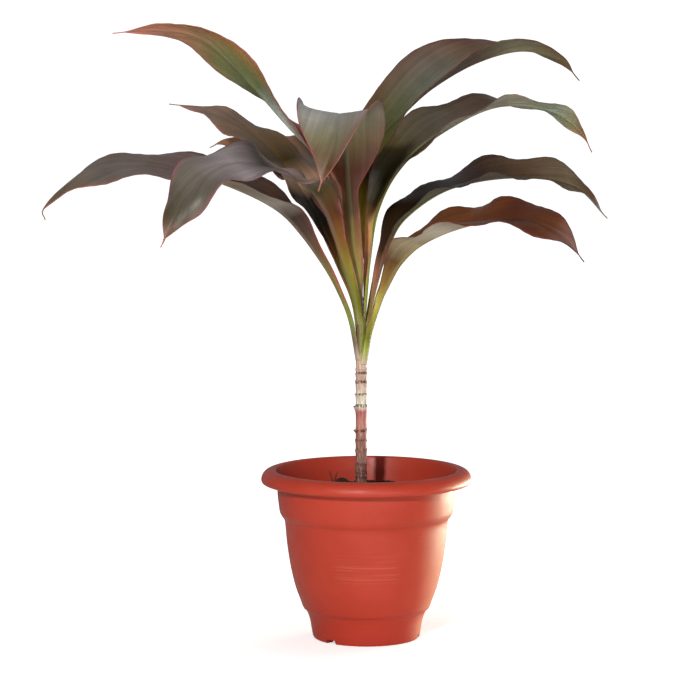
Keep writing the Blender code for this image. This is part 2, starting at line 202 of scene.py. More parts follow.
profile = (POT_FLOOR + finer(POT_WALL_INSIDE, 5) + finer(POT_COLLAR_INSIDE, 4) + finer(POT_RIM, 5)
           + POT_UNDER_RIM + finer(POT_COLLAR, 3) + finer(POT_STEP, 4) + finer(POT_BODY, 6)
           + finer(POT_FOOT, 4) + POT_UNDERSIDE)
pot = object_of("pot_shell", spun(profile, POT_STEPS))
bm = bmesh.new()
for azimuth in NOTCH_AZIMUTHS:
    box = bmesh.ops.create_cube(bm, size=1)["verts"]
    size = (NOTCH_RUN[1] - NOTCH_RUN[0], NOTCH_WIDTH, 2 * NOTCH_HEIGHT)
    bmesh.ops.scale(bm, verts=box, vec=Vector(size) * MM)
    bmesh.ops.translate(bm, verts=box, vec=(sum(NOTCH_RUN) / 2 * MM, 0, 0))
    bmesh.ops.rotate(bm, verts=box, matrix=Matrix.Rotation(math.radians(azimuth), 3, "Z"))
for azimuth in DRAIN_AZIMUTHS:
    plug = bmesh.ops.create_cone(bm, cap_ends=True, segments=32, radius1=DRAIN_RADIUS * MM,
                                 radius2=DRAIN_RADIUS * MM, depth=(DRAIN_RUN[1] - DRAIN_RUN[0]) * MM)["verts"]
    bmesh.ops.translate(bm, verts=plug, vec=(DRAIN_CIRCLE * MM, 0, sum(DRAIN_RUN) / 2 * MM))
    bmesh.ops.rotate(bm, verts=plug, matrix=Matrix.Rotation(math.radians(azimuth), 3, "Z"))
cutter = object_of("pot_cutter", bm)
opening = pot.modifiers.new("openings", "BOOLEAN")
opening.operation = "DIFFERENCE"
opening.solver = "EXACT"
opening.object = cutter
apply_modifiers(pot)
bpy.data.objects.remove(cutter)
bm = bmesh.new()
bm.from_mesh(pot.data)
bmesh.ops.remove_doubles(bm, verts=bm.verts, dist=WELD * MM)
bm.to_mesh(pot.data)
bm.free()

# Satin plastic: slow colour drift, fine turning lines, pale scuffs on the front, painted shade on the foot,
# a right side painted pale as light washing over it, and painted shadow in the crease under the rim
plastic, tree, shader = new_material("brick red plastic", 0.4)
place = object_place(tree)
drift = between(tree, grain(tree, place, 14), 0.3, 0.7)
colour = mixed(tree, drift, (0.47, 0.04, 0.017, 1), (0.53, 0.05, 0.024, 1))
lines = grain(tree, object_place(tree, (1, 1, 40)), 45, 2)
colour = mixed(tree, between(tree, lines, 0.45, 0.75, 0, 0.12), colour, (0.6, 0.1, 0.06, 1))
x, y, z = add_node(tree, "SeparateXYZ", Vector=place).outputs
front = times(tree, zone(tree, y, SCUFF_FRONT), zone(tree, maths(tree, "ABSOLUTE", x), SCUFF_HALF_WIDTH))
band = times(tree, zone(tree, z, SCUFF_FOOT), zone(tree, z, SCUFF_TOP))
scratches = between(tree, grain(tree, object_place(tree, (0.12, 0.12, 15)), 60, 2), 0.53, 0.62)
colour = mixed(tree, times(tree, front, band, scratches, 0.22), colour, (0.75, 0.22, 0.15, 1))
# Painted shade: the colour darkens toward the bottom of the foot.
painted_foot_shade = times(tree, zone(tree, z, FOOT_SHADE_RUN), between(tree, grain(tree, place, 30, 3), 0.3, 0.7, 0.7, 1))
colour = mixed(tree, times(tree, painted_foot_shade, 0.7), colour, (0.36, 0.019, 0.006, 1))
# Painted light: faces on the right of the pot that turn to the right are washed pale, as if burnt out by the
# light.
facing = add_node(tree, "SeparateXYZ", Vector=add_node(tree, "NewGeometry").outputs["Normal"])
painted_side_light = times(tree, between(tree, facing.outputs["X"], 0.6, 1.0, 0, 0.45), zone(tree, x, LIT_SIDE_RUN))
colour = mixed(tree, painted_side_light, colour, (0.75, 0.42, 0.24, 1))
# Painted shadow: a dark band in the crease under the rim, where the rim's shade falls.
from_crease = maths(tree, "ABSOLUTE", maths(tree, "SUBTRACT", z, CREASE_HEIGHT * MM))
level = add_node(tree, "CombineXYZ", X=x, Y=y).outputs[0]
reach = add_node(tree, "VectorMath", dict(operation="LENGTH"), i0=level).outputs["Value"]
painted_crease_shadow = times(tree, zone(tree, from_crease, CREASE_HALF_HEIGHT),
               times(tree, zone(tree, reach, CREASE_OUTSIDE), zone(tree, reach, CREASE_INSIDE)))
colour = mixed(tree, times(tree, painted_crease_shadow, 0.8), colour, (0.1, 0.008, 0.004, 1))
tree.links.new(colour, shader.inputs["Base Color"])
tree.links.new(between(tree, grain(tree, place, 90, 4), 0.3, 0.7, 0.38, 0.5), shader.inputs["Roughness"])
shader.inputs["Specular IOR Level"].default_value = 0.38
fine = times(tree, grain(tree, place, 700, 2), 0.4)
relief = maths(tree, "ADD", times(tree, lines, 0.6), fine)
raise_surface(tree, shader, relief, 0.00004)
pot.data.materials.clear()
pot.data.materials.append(plastic)
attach(pot, "root")
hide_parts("pot")


# The soil: dark peat and composted bark, filled loose to 24 mm under the rim and settled by watering.
# One clod stands behind the stem, and the stem goes straight down into it.
SOIL_STEPS = 144
SOIL_TOP = 138
SOIL_EDGE = 81.2
SOIL_SHOULDER = 1.5
SOIL_GAP = 0.4
SOIL_BOTTOM = 8.6
SOIL_RINGS = 64
SOIL_LUMP = 1.3
BROAD_LUMP_LENGTH = 44
FINE_LUMP_LENGTH = 17
FINE_LUMP_SHARE = 0.6
SOIL_ROUGHNESS = 1.1
CLOD_PLACE = (-22, 44)
CLOD_HEIGHT = 10
CLOD_REACH = 9
CRUMBS = 900
CRUMB_REACH = 79
SMALL_CRUMBS = (0.5, 1.1)
LARGE_CRUMBS = (1.2, 2.4)
SMALL_SHARE = 0.85
STEM_X = -5
BARE_REACH = 6.5


def soil_height(x, y):
    """Height of the soil's surface in mm."""
    turn = 2 * math.pi / BROAD_LUMP_LENGTH
    broad = math.sin(turn * x + 1.3) * math.cos(turn * y)
    fine = math.sin(2 * math.pi * (0.75 * x - 0.65 * y) / FINE_LUMP_LENGTH + 0.8)
    away = math.hypot(x - CLOD_PLACE[0], y - CLOD_PLACE[1]) / CLOD_REACH
    rough = noise.fractal(Vector((x, y, 0)) * 0.35, 0.9, 2.1, 4)
    lumps = SOIL_LUMP * (broad + FINE_LUMP_SHARE * fine) + SOIL_ROUGHNESS * rough
    return SOIL_TOP + lumps + CLOD_HEIGHT * math.exp(-(away**2))


sides = [(radius - SOIL_GAP, height) for radius, height in reversed(POT_WALL_INSIDE + POT_COLLAR_INSIDE[:3])]
rings = [(radius, SOIL_TOP) for radius in np.linspace(0, SOIL_EDGE, SOIL_RINGS)]
bm = spun(rings + [(SOIL_EDGE, SOIL_TOP - SOIL_SHOULDER)] + sides + [(0, SOIL_BOTTOM)], SOIL_STEPS)
for vert in bm.verts:
    x, y, z = vert.co / MM
    if z > SOIL_TOP - 0.5:
        vert.co.z = soil_height(x, y) * MM
soil = object_of("soil_fill", bm, 80)

draw = random.Random(7)
bm = bmesh.new()
for number in range(CRUMBS):
    reach = CRUMB_REACH * math.sqrt(draw.random())
    azimuth = draw.uniform(0, 2 * math.pi)
    x, y = reach * math.cos(azimuth), reach * math.sin(azimuth)
    size = draw.uniform(*SMALL_CRUMBS) if draw.random() < SMALL_SHARE else draw.uniform(*LARGE_CRUMBS)
    if math.hypot(x - STEM_X, y) < BARE_REACH + size:
        continue
    crumb = bmesh.ops.create_icosphere(bm, subdivisions=1, radius=size * MM)["verts"]
    squash = (draw.uniform(0.7, 1.6), draw.uniform(0.6, 1.1), draw.uniform(0.5, 0.9))
    bmesh.ops.scale(bm, verts=crumb, vec=squash)
    turned = Matrix.Rotation(draw.uniform(0, 6.28), 3, "Z") @ Matrix.Rotation(draw.uniform(-0.6, 0.6), 3, "X")
    bmesh.ops.rotate(bm, verts=crumb, matrix=turned)
    for vert in crumb:
        vert.co *= draw.uniform(0.82, 1.15)
    bmesh.ops.translate(bm, verts=crumb, vec=(x * MM, y * MM, (soil_height(x, y) + 0.25 * size) * MM))
crumbs = object_of("soil_crumbs", bm, 30)

peat, tree, shader = new_material("damp potting soil", 0.95)
place = object_place(tree)
lumpy = between(tree, grain(tree, place, 260, 5, 0.7), 0.3, 0.72)
colour = mixed(tree, lumpy, (0.012, 0.006, 0.004, 1), (0.05, 0.024, 0.014, 1))
chips = between(tree, grain(tree, object_place(tree, (1, 0.5, 1)), 420, 2), 0.66, 0.72)
colour = mixed(tree, times(tree, chips, 0.7), colour, (0.13, 0.07, 0.035, 1))
tree.links.new(colour, shader.inputs["Base Color"])
tree.links.new(between(tree, lumpy, 0, 1, 0.82, 0.98), shader.inputs["Roughness"])
raise_surface(tree, shader, grain(tree, place, 900, 5, 0.7), 0.0008)
for piece in (soil, crumbs):
    piece.data.materials.append(peat)
    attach(piece, "root")
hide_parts("soil")


# Two dry twigs: thin bits of bark-brown litter stuck in the clod, leaning apart in a V behind the stem.
# Each is a tapered round stick with a few low knots.
TWIG_RADIUS = 1.1
TWIG_STEPS = 15
TWIG_TAPER = 0.55
TWIG_KNOTS = (5, 10)
TWIG_SWELL = 1.25
TWIGS = {"twig_left": [(-31.5, 46, 140), (-33.0, 46, 145), (-34.4, 46, 150), (-35.5, 45.5, 153.5)],
         "twig_right": [(-31.0, 45, 140), (-30.2, 45, 145), (-29.0, 45, 149.5), (-27.8, 45.5, 152.5)]}

bark, tree, shader = new_material("dry bark", 0.8)
place = object_place(tree)
along_bark = grain(tree, object_place(tree, (1, 1, 0.3)), 900, 3)
colour = mixed(tree, along_bark, (0.05, 0.014, 0.006, 1), (0.24, 0.06, 0.02, 1))
tree.links.new(colour, shader.inputs["Base Color"])
raise_surface(tree, shader, grain(tree, place, 1500, 3), 0.0002)
for name, path in TWIGS.items():
    bm = bmesh.new()
    bmesh.ops.create_cone(bm, cap_ends=True, segments=10, radius1=1, radius2=1, depth=1)
    upright = [edge for edge in bm.edges if abs(edge.verts[0].co.z - edge.verts[1].co.z) > 0.5]
    bmesh.ops.subdivide_edges(bm, edges=upright, cuts=TWIG_STEPS - 1)
    route = smooth_through(path, np.linspace(0, 1, TWIG_STEPS + 1))
    for vert in bm.verts:
        step = round((vert.co.z + 0.5) * TWIG_STEPS)
        swell = TWIG_SWELL if step in TWIG_KNOTS else 1
        radius = TWIG_RADIUS * (1 - TWIG_TAPER * step / TWIG_STEPS) * swell
        vert.co = Vector(route[step] + np.array([vert.co.x, vert.co.y, 0]) * radius) * MM
    twig = object_of(name, bm, 60)
    twig.data.materials.append(bark)
    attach(twig, "root")


# The stem: one upright cane, pale and pink under the leaves and brown and flaking lower down.
# Each ring is the scar of a dropped leaf, and two of them still hold a torn edge of the sheath.
STEM_STEPS = 72
STEM_FOOT = 72
STEM_RADIUS = 5.35
STEM_FLARE = 0.65
SEGMENTS_START = 102
SEGMENT_STEPS = 7
SEGMENT_WAIST = 0.25
LIP_BELOW = 0.35
LIP_ABOVE = 0.25
STEM_RINGS = (134, 141, 148, 155, 160, 167, 181, 190, 200, 223, 234, 246, 254)
STEM_CORE = [(5.3, 258), (5.15, 260), (5.15, 275), (5.0, 290), (4.8, 300), (4.2, 305), (3.1, 311),
             (2.05, 317)]
TORN_RINGS = {223: 1.9, 200: 1.6, 234: 0.6}
TORN_AZIMUTH = math.pi
TORN_SPREAD = 0.7
TORN_HEIGHT = 2.2
RING_WANDER = 0.9
BARK_WAVES = 0.22
BARK_BUMPS = 0.1
SCARS = ((147.5, 0.5), (154.5, 0.4), (160.5, 0.5), (167, 0.5), (181, 0.4), (190, 0.4), (199.5, 0.75),
         (222.5, 0.8), (234.2, 0.85), (246.2, 0.9), (254.5, 0.8))
SCAR_HALF_HEIGHT = (1.8, 0.8)
CANE_COLOURS = (130, 280)
SHADE_SIDE = (-5, -7.5)
SHADE_HEIGHT = (262, 272)
FLAKES_TOP = (205, 195)

stem_profile = [(0, STEM_FOOT), (STEM_RADIUS, STEM_FOOT)]
for lower, upper in zip((SEGMENTS_START, *STEM_RINGS), (*STEM_RINGS, STEM_CORE[0][1])):
    for share in np.linspace(0.08, 0.9, SEGMENT_STEPS):
        waist = SEGMENT_WAIST * math.sin(math.pi * share)
        stem_profile.append((STEM_RADIUS + STEM_FLARE * share**2.2 - waist, lower + (upper - lower) * share))
    stem_profile.append((STEM_RADIUS + STEM_FLARE, upper - LIP_BELOW))
    stem_profile.append((STEM_RADIUS + 0.05, upper + LIP_ABOVE))
stem_profile += finer(STEM_CORE, 4)[2:] + [(0, STEM_CORE[-1][1])]
bm = spun(stem_profile, STEM_STEPS)
for vert in bm.verts:
    x, y, z = vert.co / MM
    radius = math.hypot(x, y)
    if radius < 1 or z < STEM_FOOT + 1:
        continue
    azimuth = math.atan2(y, x)
    if z < STEM_CORE[0][1] - 1:
        for depth, turns, rise in ((BARK_WAVES, 1.7, 0.09), (BARK_BUMPS, 6, 0.5)):
            spot = Vector((math.cos(azimuth) * turns, math.sin(azimuth) * turns, z * rise))
            radius += depth * noise.noise(spot)
        for ring, torn in TORN_RINGS.items():
            turn = (azimuth - TORN_AZIMUTH + math.pi) % (2 * math.pi) - math.pi
            near = math.exp(-((turn / TORN_SPREAD) ** 2)) * math.exp(-(((z - ring + 0.4) / TORN_HEIGHT) ** 2))
            radius += torn * near * (z < ring + 0.1)
        z += RING_WANDER * math.sin(azimuth + 0.35 * z) * (z > SOIL_TOP + 4)
    vert.co = Vector((radius * math.cos(azimuth), radius * math.sin(azimuth), z)) * MM
bmesh.ops.translate(bm, verts=bm.verts, vec=(STEM_X * MM, 0, 0))
stem = object_of("stem_cane", bm, 50)


def ramp(tree, factor, stops):
    """Colours along a factor; stops are (place, linear colour)."""
    made = add_node(tree, "ValToRGB", Fac=factor)
    points = made.color_ramp.elements
    while len(points) < len(stops):
        points.new(0.5)
    for point, (place, colour) in zip(points, stops):
        point.position = place
        point.color = (*colour, 1)
    return made.outputs[0]


def shaded(tree, colour, factor):
    """A colour made darker or lighter by a factor."""
    grey = add_node(tree, "CombineColor", Red=factor, Green=factor, Blue=factor).outputs[0]
    return mixed(tree, 1.0, colour, grey, "MULTIPLY")


# Cane skin: the colour follows the height, with dark scars at the rings and pale flakes on the old wood.
# Painted shade darkens its left side to mauve just under the leaf feet.
cane, tree, shader = new_material("ringed cane", 0.6)
place = object_place(tree)
x, y, z = add_node(tree, "SeparateXYZ", Vector=place).outputs
wobble = times(tree, maths(tree, "SUBTRACT", grain(tree, place, 160, 3), 0.5), 0.012)
level = maths(tree, "ADD", z, wobble)
share = zone(tree, level, CANE_COLOURS)
share.node.interpolation_type = "LINEAR"
colour = ramp(tree, share, [
    (0.0, (0.12, 0.05, 0.04)), (0.2, (0.25, 0.09, 0.07)), (0.33, (0.36, 0.16, 0.12)),
    (0.45, (0.4, 0.16, 0.12)), (0.48, (0.6, 0.26, 0.2)), (0.58, (0.5, 0.15, 0.13)),
    (0.625, (0.88, 0.82, 0.66)), (0.7, (0.82, 0.68, 0.54)), (0.78, (0.62, 0.4, 0.31)),
    (0.86, (0.72, 0.5, 0.4)), (0.92, (0.5, 0.42, 0.2)), (1.0, (0.24, 0.25, 0.04))])
# Painted shade: the cane's left side turns dark mauve just under the leaf feet.
painted_side_shade = times(tree, zone(tree, x, SHADE_SIDE), zone(tree, level, SHADE_HEIGHT))
colour = mixed(tree, times(tree, painted_side_shade, 0.8), colour, (0.2, 0.11, 0.07, 1))
flakes = between(tree, grain(tree, object_place(tree, (1, 1, 0.28)), 520, 3), 0.5, 0.66)
flaked = times(tree, flakes, zone(tree, z, FLAKES_TOP), 0.75)
colour = mixed(tree, flaked, colour, (0.62, 0.42, 0.32, 1))
streaks = between(tree, grain(tree, object_place(tree, (1, 1, 0.15)), 700, 3), 0.35, 0.65, 0.7, 1.12)
colour = shaded(tree, colour, streaks)
scars = 0.0
drift = times(tree, maths(tree, "SUBTRACT", grain(tree, place, 75, 1), 0.5), 0.006)
uneven = maths(tree, "ADD", z, drift)
for ring, dark in SCARS:
    distance = maths(tree, "ABSOLUTE", maths(tree, "SUBTRACT", uneven, ring * MM))
    patches = grain(tree, object_place(tree, (1, 1, 0.4)), 150 + 900 * ring * MM, 1)
    scar = times(tree, zone(tree, distance, SCAR_HALF_HEIGHT), between(tree, patches, 0.4, 0.5, 0.08, dark))
    scars = maths(tree, "MAXIMUM", scar, scars)
colour = mixed(tree, scars, colour, (0.05, 0.02, 0.012, 1))
tree.links.new(colour, shader.inputs["Base Color"])
fine = times(tree, grain(tree, place, 1300, 3), 0.4)
relief = maths(tree, "ADD", times(tree, streaks, 0.5), fine)
raise_surface(tree, shader, relief, 0.0003)
stem.data.materials.append(cane)
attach(stem, "root")
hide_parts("stem")


# The lowest leaf on the right: a long strap blade on a channelled stalk that clasps the cane.
# It grew in one piece, red-brown on its face and paler beneath near the stalk, and its tip dries to a thread.
# Sizes are in mm, and runs are shares of a leaf's length, some of them counted from the end of its stalk.
LEAF_ROWS = 200
LEAF_COLUMNS = 32
PATH_STEPS = 24
SECTION_STEPS = 16
CLASP_RUN = (0.02, 0.16)
STALK_END = 0.24
STALK_FADE = (0.1, 0.45)
OPENING_RUN = (-0.12, 0.15)
STALK_HALF_WIDTH = 7.9
STALK_FOLD = 10
STALK_BEND = 42
CLASP_BEND = 82
BLADE_OPENING = 1.1
BLADE_CLOSING = 1.05
TIP_HALF_WIDTH = 0.55
TIP_START = 0.975
WAVES_RISE = (0, 0.2)
WAVES_FADE = (0.86, 1)
WAVE_REACH = 2.2
CRIMP = 0.3
CRIMP_REACH = 5
CRIMP_TURNS = ((4.7, 0.3), (1.9, 0.1))
FLAT_TIP = (0.7, 0.98)
MARGIN_THICKNESS = 0.7
MARGIN_RUN = (0.1, 0.25)
FOOT_THICKNESS = 0.8
FOOT_RIB_THICKNESS = 0.9
RIB_THICKNESS = 2.8
RIB_RUN = (0.08, 0.25)
RIB_FADE = 1.8
RIB_FADE_END = 0.75
RIB_HALF_WIDTH = 2.6
RIB_NARROWING = 0.75
NARROWING_RUN = (-0.05, 0.2)
GROOVE_DEPTH = 0.45
GROOVE_HALF_WIDTH = 1.3
VEIN_SLANT = 9
PLEAT_DEPTH = 0.1
PLEAT_START = 6
PLEAT_LENGTH = 40
SHIFT_SMOOTHING = 12
SHIFT_RUN = (0.12, 0.3)
SHEATH_FACE = (0.5, 0.4, 0.25)
SHEATH_UNDERSIDE = (0.6, 0.5, 0.36)


def even_path(points, count):
    """Points spaced evenly by length along a smooth curve through the given ones."""
    fine = smooth_through(points, np.linspace(0, 1, PATH_STEPS * (len(points) - 1) + 1))
    gone = np.concatenate([[0], np.cumsum(np.linalg.norm(np.diff(fine, axis=0), axis=1))])
    wanted = np.linspace(0, gone[-1], count)
    return np.stack([np.interp(wanted, gone, fine[:, axis]) for axis in range(3)], axis=-1), gone[-1]


def ease(run, share, origin=0.0):
    """Rises smoothly from 0 to 1 over a run of shares, counted from an origin."""
    start, stop = origin + run[0], origin + run[1]
    t = np.clip((share - start) / (stop - start), 0, 1)
    return t * t * (3 - 2 * t)


def leaf_sheet(leaf, rows, columns):
    """Upper face of a leaf in mm with its thickness, half width and length.

    A leaf's path is its midrib in mm, from the cane to the tip. Its heading in plan, its roll about the
    midrib, the fold of its halves and their bend toward the margins are degrees along that path. In mm,
    width is the greatest, foot is half the width where it clasps the cane, and ripple is the height of the
    margin waves. Waves is their number, and phase is where they start on each margin, in turns. A leaf may
    also have its own end of the stalk, as a share of the length, and its own powers for how the blade closes
    and for how near the margins it bends.
    """
    share = np.linspace(0, 1, rows + 1)
    across = np.linspace(-1, 1, columns + 1)
    rib, length = even_path(leaf["path"], rows + 1)
    tangent = np.gradient(rib, axis=0)
    tangent /= np.linalg.norm(tangent, axis=1)[:, None]

    # Frame along the midrib: sideways to the heading, then rolled about the midrib
    heading = np.radians(smooth_through(leaf["heading"], share))
    level = np.stack([-np.sin(heading), np.cos(heading), 0 * heading], axis=-1)
    side = level - np.sum(level * tangent, axis=1)[:, None] * tangent
    side /= np.linalg.norm(side, axis=1)[:, None]
    up = np.cross(tangent, side)
    roll = np.radians(smooth_through(leaf["roll"], share))[:, None]
    side, up = side * np.cos(roll) + up * np.sin(roll), up * np.cos(roll) - side * np.sin(roll)

    # Half width: the clasping foot, the stalk, the blade and the thread at the tip
    stalk_end = leaf.get("stalk", STALK_END)
    closing = leaf.get("closing", BLADE_CLOSING)
    along_blade = np.clip((share - stalk_end) / (TIP_START - stalk_end), 0, 1)
    blade = along_blade**BLADE_OPENING * (1 - along_blade) ** closing
    fullest = BLADE_OPENING / (BLADE_OPENING + closing)
    blade *= leaf["width"] / 2 / (fullest**BLADE_OPENING * (1 - fullest) ** closing)
    clasp = 1 - ease(CLASP_RUN, share)
    stalk = STALK_HALF_WIDTH + (leaf["foot"] - STALK_HALF_WIDTH) * clasp
    stalk *= 1 - ease(STALK_FADE, share, stalk_end)
    half = np.sqrt(blade**2 + stalk**2 + TIP_HALF_WIDTH**2)

    # Section: a round channel at the foot that opens into the folded blade
    opened = ease(OPENING_RUN, share, stalk_end)
    fold = smooth_through(leaf["fold"], share) * opened + STALK_FOLD * (1 - opened) * (1 - clasp)
    channel = STALK_BEND + (CLASP_BEND - STALK_BEND) * clasp
    bend = smooth_through(leaf["bend"], share) * opened + channel * (1 - opened)
    out = np.zeros((rows + 1, columns + 1))
    rise = np.zeros((rows + 1, columns + 1))
    steps = (np.arange(SECTION_STEPS) + 0.5) / SECTION_STEPS
    for column, v in enumerate(across):
        angle = np.radians(fold[:, None] + bend[:, None] * (abs(v) * steps[None, :]) ** leaf.get("edge", 1))
        out[:, column] = half * v * np.cos(angle).mean(axis=1)
        rise[:, column] = half * abs(v) * np.sin(angle).mean(axis=1)

    # Waves along the two margins with small crimps, a groove over the midrib and fine slanting pleats
    height = leaf["ripple"] * ease(WAVES_RISE, share, stalk_end) * (1 - ease(WAVES_FADE, share))
    phase = np.where(across > 0, leaf["phase"][1], leaf["phase"][0])
    turns = leaf["waves"] * along_blade[:, None] + phase[None, :]
    rise += height[:, None] * np.abs(across)[None, :] ** WAVE_REACH * np.sin(2 * math.pi * turns)
    crimps = 1
    for per_wave, start in CRIMP_TURNS:
        crimps = crimps * np.sin(2 * math.pi * (per_wave * turns + start))
    rise += CRIMP * (height / leaf["ripple"])[:, None] * np.abs(across)[None, :] ** CRIMP_REACH * crimps
    from_rib = half[:, None] * np.abs(across)[None, :]
    open_blade = (opened * (1 - ease(FLAT_TIP, share)))[:, None]
    rise -= GROOVE_DEPTH * open_blade * np.exp(-((from_rib / GROOVE_HALF_WIDTH) ** 2))
    slant = 2 * math.pi * (share[:, None] * length - VEIN_SLANT * from_rib) / PLEAT_LENGTH
    pleats = np.sin(slant) + 0.6 * np.sin(1.63 * slant + 1.2)
    rise += PLEAT_DEPTH * open_blade * np.clip(from_rib / PLEAT_START, 0, 1) * pleats
    points = rib[:, None] + out[..., None] * side[:, None] + rise[..., None] * up[:, None]

    # Thickness: a round midrib under the blade that fades toward the tip, and thin margins
    rib_now = FOOT_RIB_THICKNESS + (RIB_THICKNESS - FOOT_RIB_THICKNESS) * ease(RIB_RUN, share)
    rib_now -= RIB_FADE * ease((stalk_end, RIB_FADE_END), share)
    rib_reach = 1 - RIB_NARROWING * ease(NARROWING_RUN, share, stalk_end)
    margin = FOOT_THICKNESS + (MARGIN_THICKNESS - FOOT_THICKNESS) * ease(MARGIN_RUN, share)
    near_rib = np.clip(1 - np.abs(across)[None, :] / rib_reach[:, None], 0, 1)
    round_rib = np.exp(-((from_rib / RIB_HALF_WIDTH) ** 2))
    near_rib = near_rib * (1 - open_blade) + round_rib * open_blade
    thickness = margin[:, None] + (rib_now - margin)[:, None] * near_rib

    # The blade thickens downward; the foot thickens toward the cane, so its sheet moves in by as much
    normal = np.cross(np.gradient(points, axis=0), np.gradient(points, axis=1))
    for step in range(SHIFT_SMOOTHING):
        normal[:, 1:-1] = (normal[:, :-2] + 2 * normal[:, 1:-1] + normal[:, 2:]) / 4
    normal /= np.linalg.norm(normal, axis=2)[..., None]
    points += normal * (thickness * (1 - ease(SHIFT_RUN, share))[:, None])[..., None]
    return points, thickness, half, length


def build_leaf_skin():
    """The skin that all the leaves share: two faces, veins, midrib, coloured margin and blush."""
    skin = bpy.data.node_groups.new("leaf skin", "ShaderNodeTree")
    for key in ("Face", "Underside", "Margin", "Rib", "Blush"):
        skin.interface.new_socket(key, in_out="INPUT", socket_type="NodeSocketColor")
    for key in ("Rib Strength", "Blush Strength", "Margin Width"):
        skin.interface.new_socket(key, in_out="INPUT", socket_type="NodeSocketFloat")
    skin.interface.new_socket("Colour", in_out="OUTPUT", socket_type="NodeSocketColor")
    for key in ("Roughness", "Height"):
        skin.interface.new_socket(key, in_out="OUTPUT", socket_type="NodeSocketFloat")
    given = skin.nodes.new("NodeGroupInput").outputs
    along, across, from_rib, from_margin, vein, under = [
        add_node(skin, "Attribute", dict(attribute_name=name)).outputs["Fac"]
        for name in ("along", "across", "from_rib", "from_margin", "vein", "underside")]
    place = object_place(skin)

    colour = mixed(skin, under, given["Face"], given["Underside"])
    blushed = times(skin, between(skin, across, 0.2, 0.95), given["Blush Strength"])
    colour = mixed(skin, blushed, colour, given["Blush"])
    threads = dict(noise_dimensions="1D")
    coarse, fine, streak = [
        add_node(skin, "TexNoise", threads, W=vein, Scale=scale, Detail=detail).outputs["Fac"]
        for scale, detail in ((0.09, 2.0), (0.35, 2.0), (0.022, 3.0))]
    veins = maths(skin, "ADD", times(skin, coarse, 0.6), times(skin, fine, 0.4))
    blotches = grain(skin, place, 26, 3)
    shade = times(skin, between(skin, veins, 0.32, 0.68, 0.9, 1.1),
                  between(skin, blotches, 0.3, 0.7, 0.86, 1.14))
    shade = times(skin, shade, between(skin, streak, 0.36, 0.64, 0.9, 1.1))
    colour = shaded(skin, colour, shade)

    rib = times(skin, between(skin, from_rib, 2.6, 0.9), given["Rib Strength"])
    rib = times(skin, rib, between(skin, along, 0.85, 0.3, 0.15, 1.0))
    rib = times(skin, rib, between(skin, under, 0, 1, 0.35, 1.0))
    colour = mixed(skin, rib, colour, given["Rib"])
    unsteady = between(skin, grain(skin, place, 90, 2), 0.3, 0.7, 0.5, 1.5)
    uneven = times(skin, given["Margin Width"], unsteady)
    line = maths(skin, "SUBTRACT", 1.0, maths(skin, "DIVIDE", from_margin, uneven), clamp=True)
    line = times(skin, between(skin, line, 0.0, 0.6), between(skin, along, 0.06, 0.14))
    line = times(skin, line, between(skin, grain(skin, place, 45, 2), 0.36, 0.6, 0.3, 1.0))
    broad = between(skin, maths(skin, "ADD", from_rib, from_margin), 8.0, 18.0)
    wash = times(skin, between(skin, from_margin, 6.0, 0.5, 0.0, 0.25), broad)
    colour = mixed(skin, maths(skin, "MAXIMUM", line, wash), colour, given["Margin"])

    rough = between(skin, under, 0, 1, 0.33, 0.46)
    rough = maths(skin, "ADD", rough, between(skin, grain(skin, place, 60, 3), 0.3, 0.7, -0.04, 0.06))
    pores = grain(skin, place, 450, 2)
    height = maths(skin, "ADD", times(skin, veins, 0.85), times(skin, pores, 0.15))
    skin_out = skin.nodes.new("NodeGroupOutput")
    for key, socket in (("Colour", colour), ("Roughness", rough), ("Height", height)):
        skin.links.new(socket, skin_out.inputs[key])
    return skin


leaf_skin = build_leaf_skin()


def leaf_material(name, face, underside, margin, rib, rib_strength=0.6, blush=(0.3, 0.12, 0.06),
                  blush_strength=0.0, margin_width=0.8, gloss=0.3):
    """Leaf finish; face, underside and margin are colours by share of the leaf's length."""
    made, tree, shader = new_material(name)
    shader.inputs["Specular IOR Level"].default_value = gloss
    along = add_node(tree, "Attribute", dict(attribute_name="along")).outputs["Fac"]
    skin = tree.nodes.new("ShaderNodeGroup")
    skin.node_tree = leaf_skin
    for key, stops in (("Face", face), ("Underside", underside), ("Margin", margin)):
        tree.links.new(ramp(tree, along, stops), skin.inputs[key])
    for key, value in (("Rib", (*rib, 1)), ("Rib Strength", rib_strength), ("Blush", (*blush, 1)),
                       ("Blush Strength", blush_strength), ("Margin Width", margin_width)):
        skin.inputs[key].default_value = value
    tree.links.new(skin.outputs["Colour"], shader.inputs["Base Color"])
    tree.links.new(skin.outputs["Roughness"], shader.inputs["Roughness"])
    raise_surface(tree, shader, skin.outputs["Height"], 0.0002)
    return made


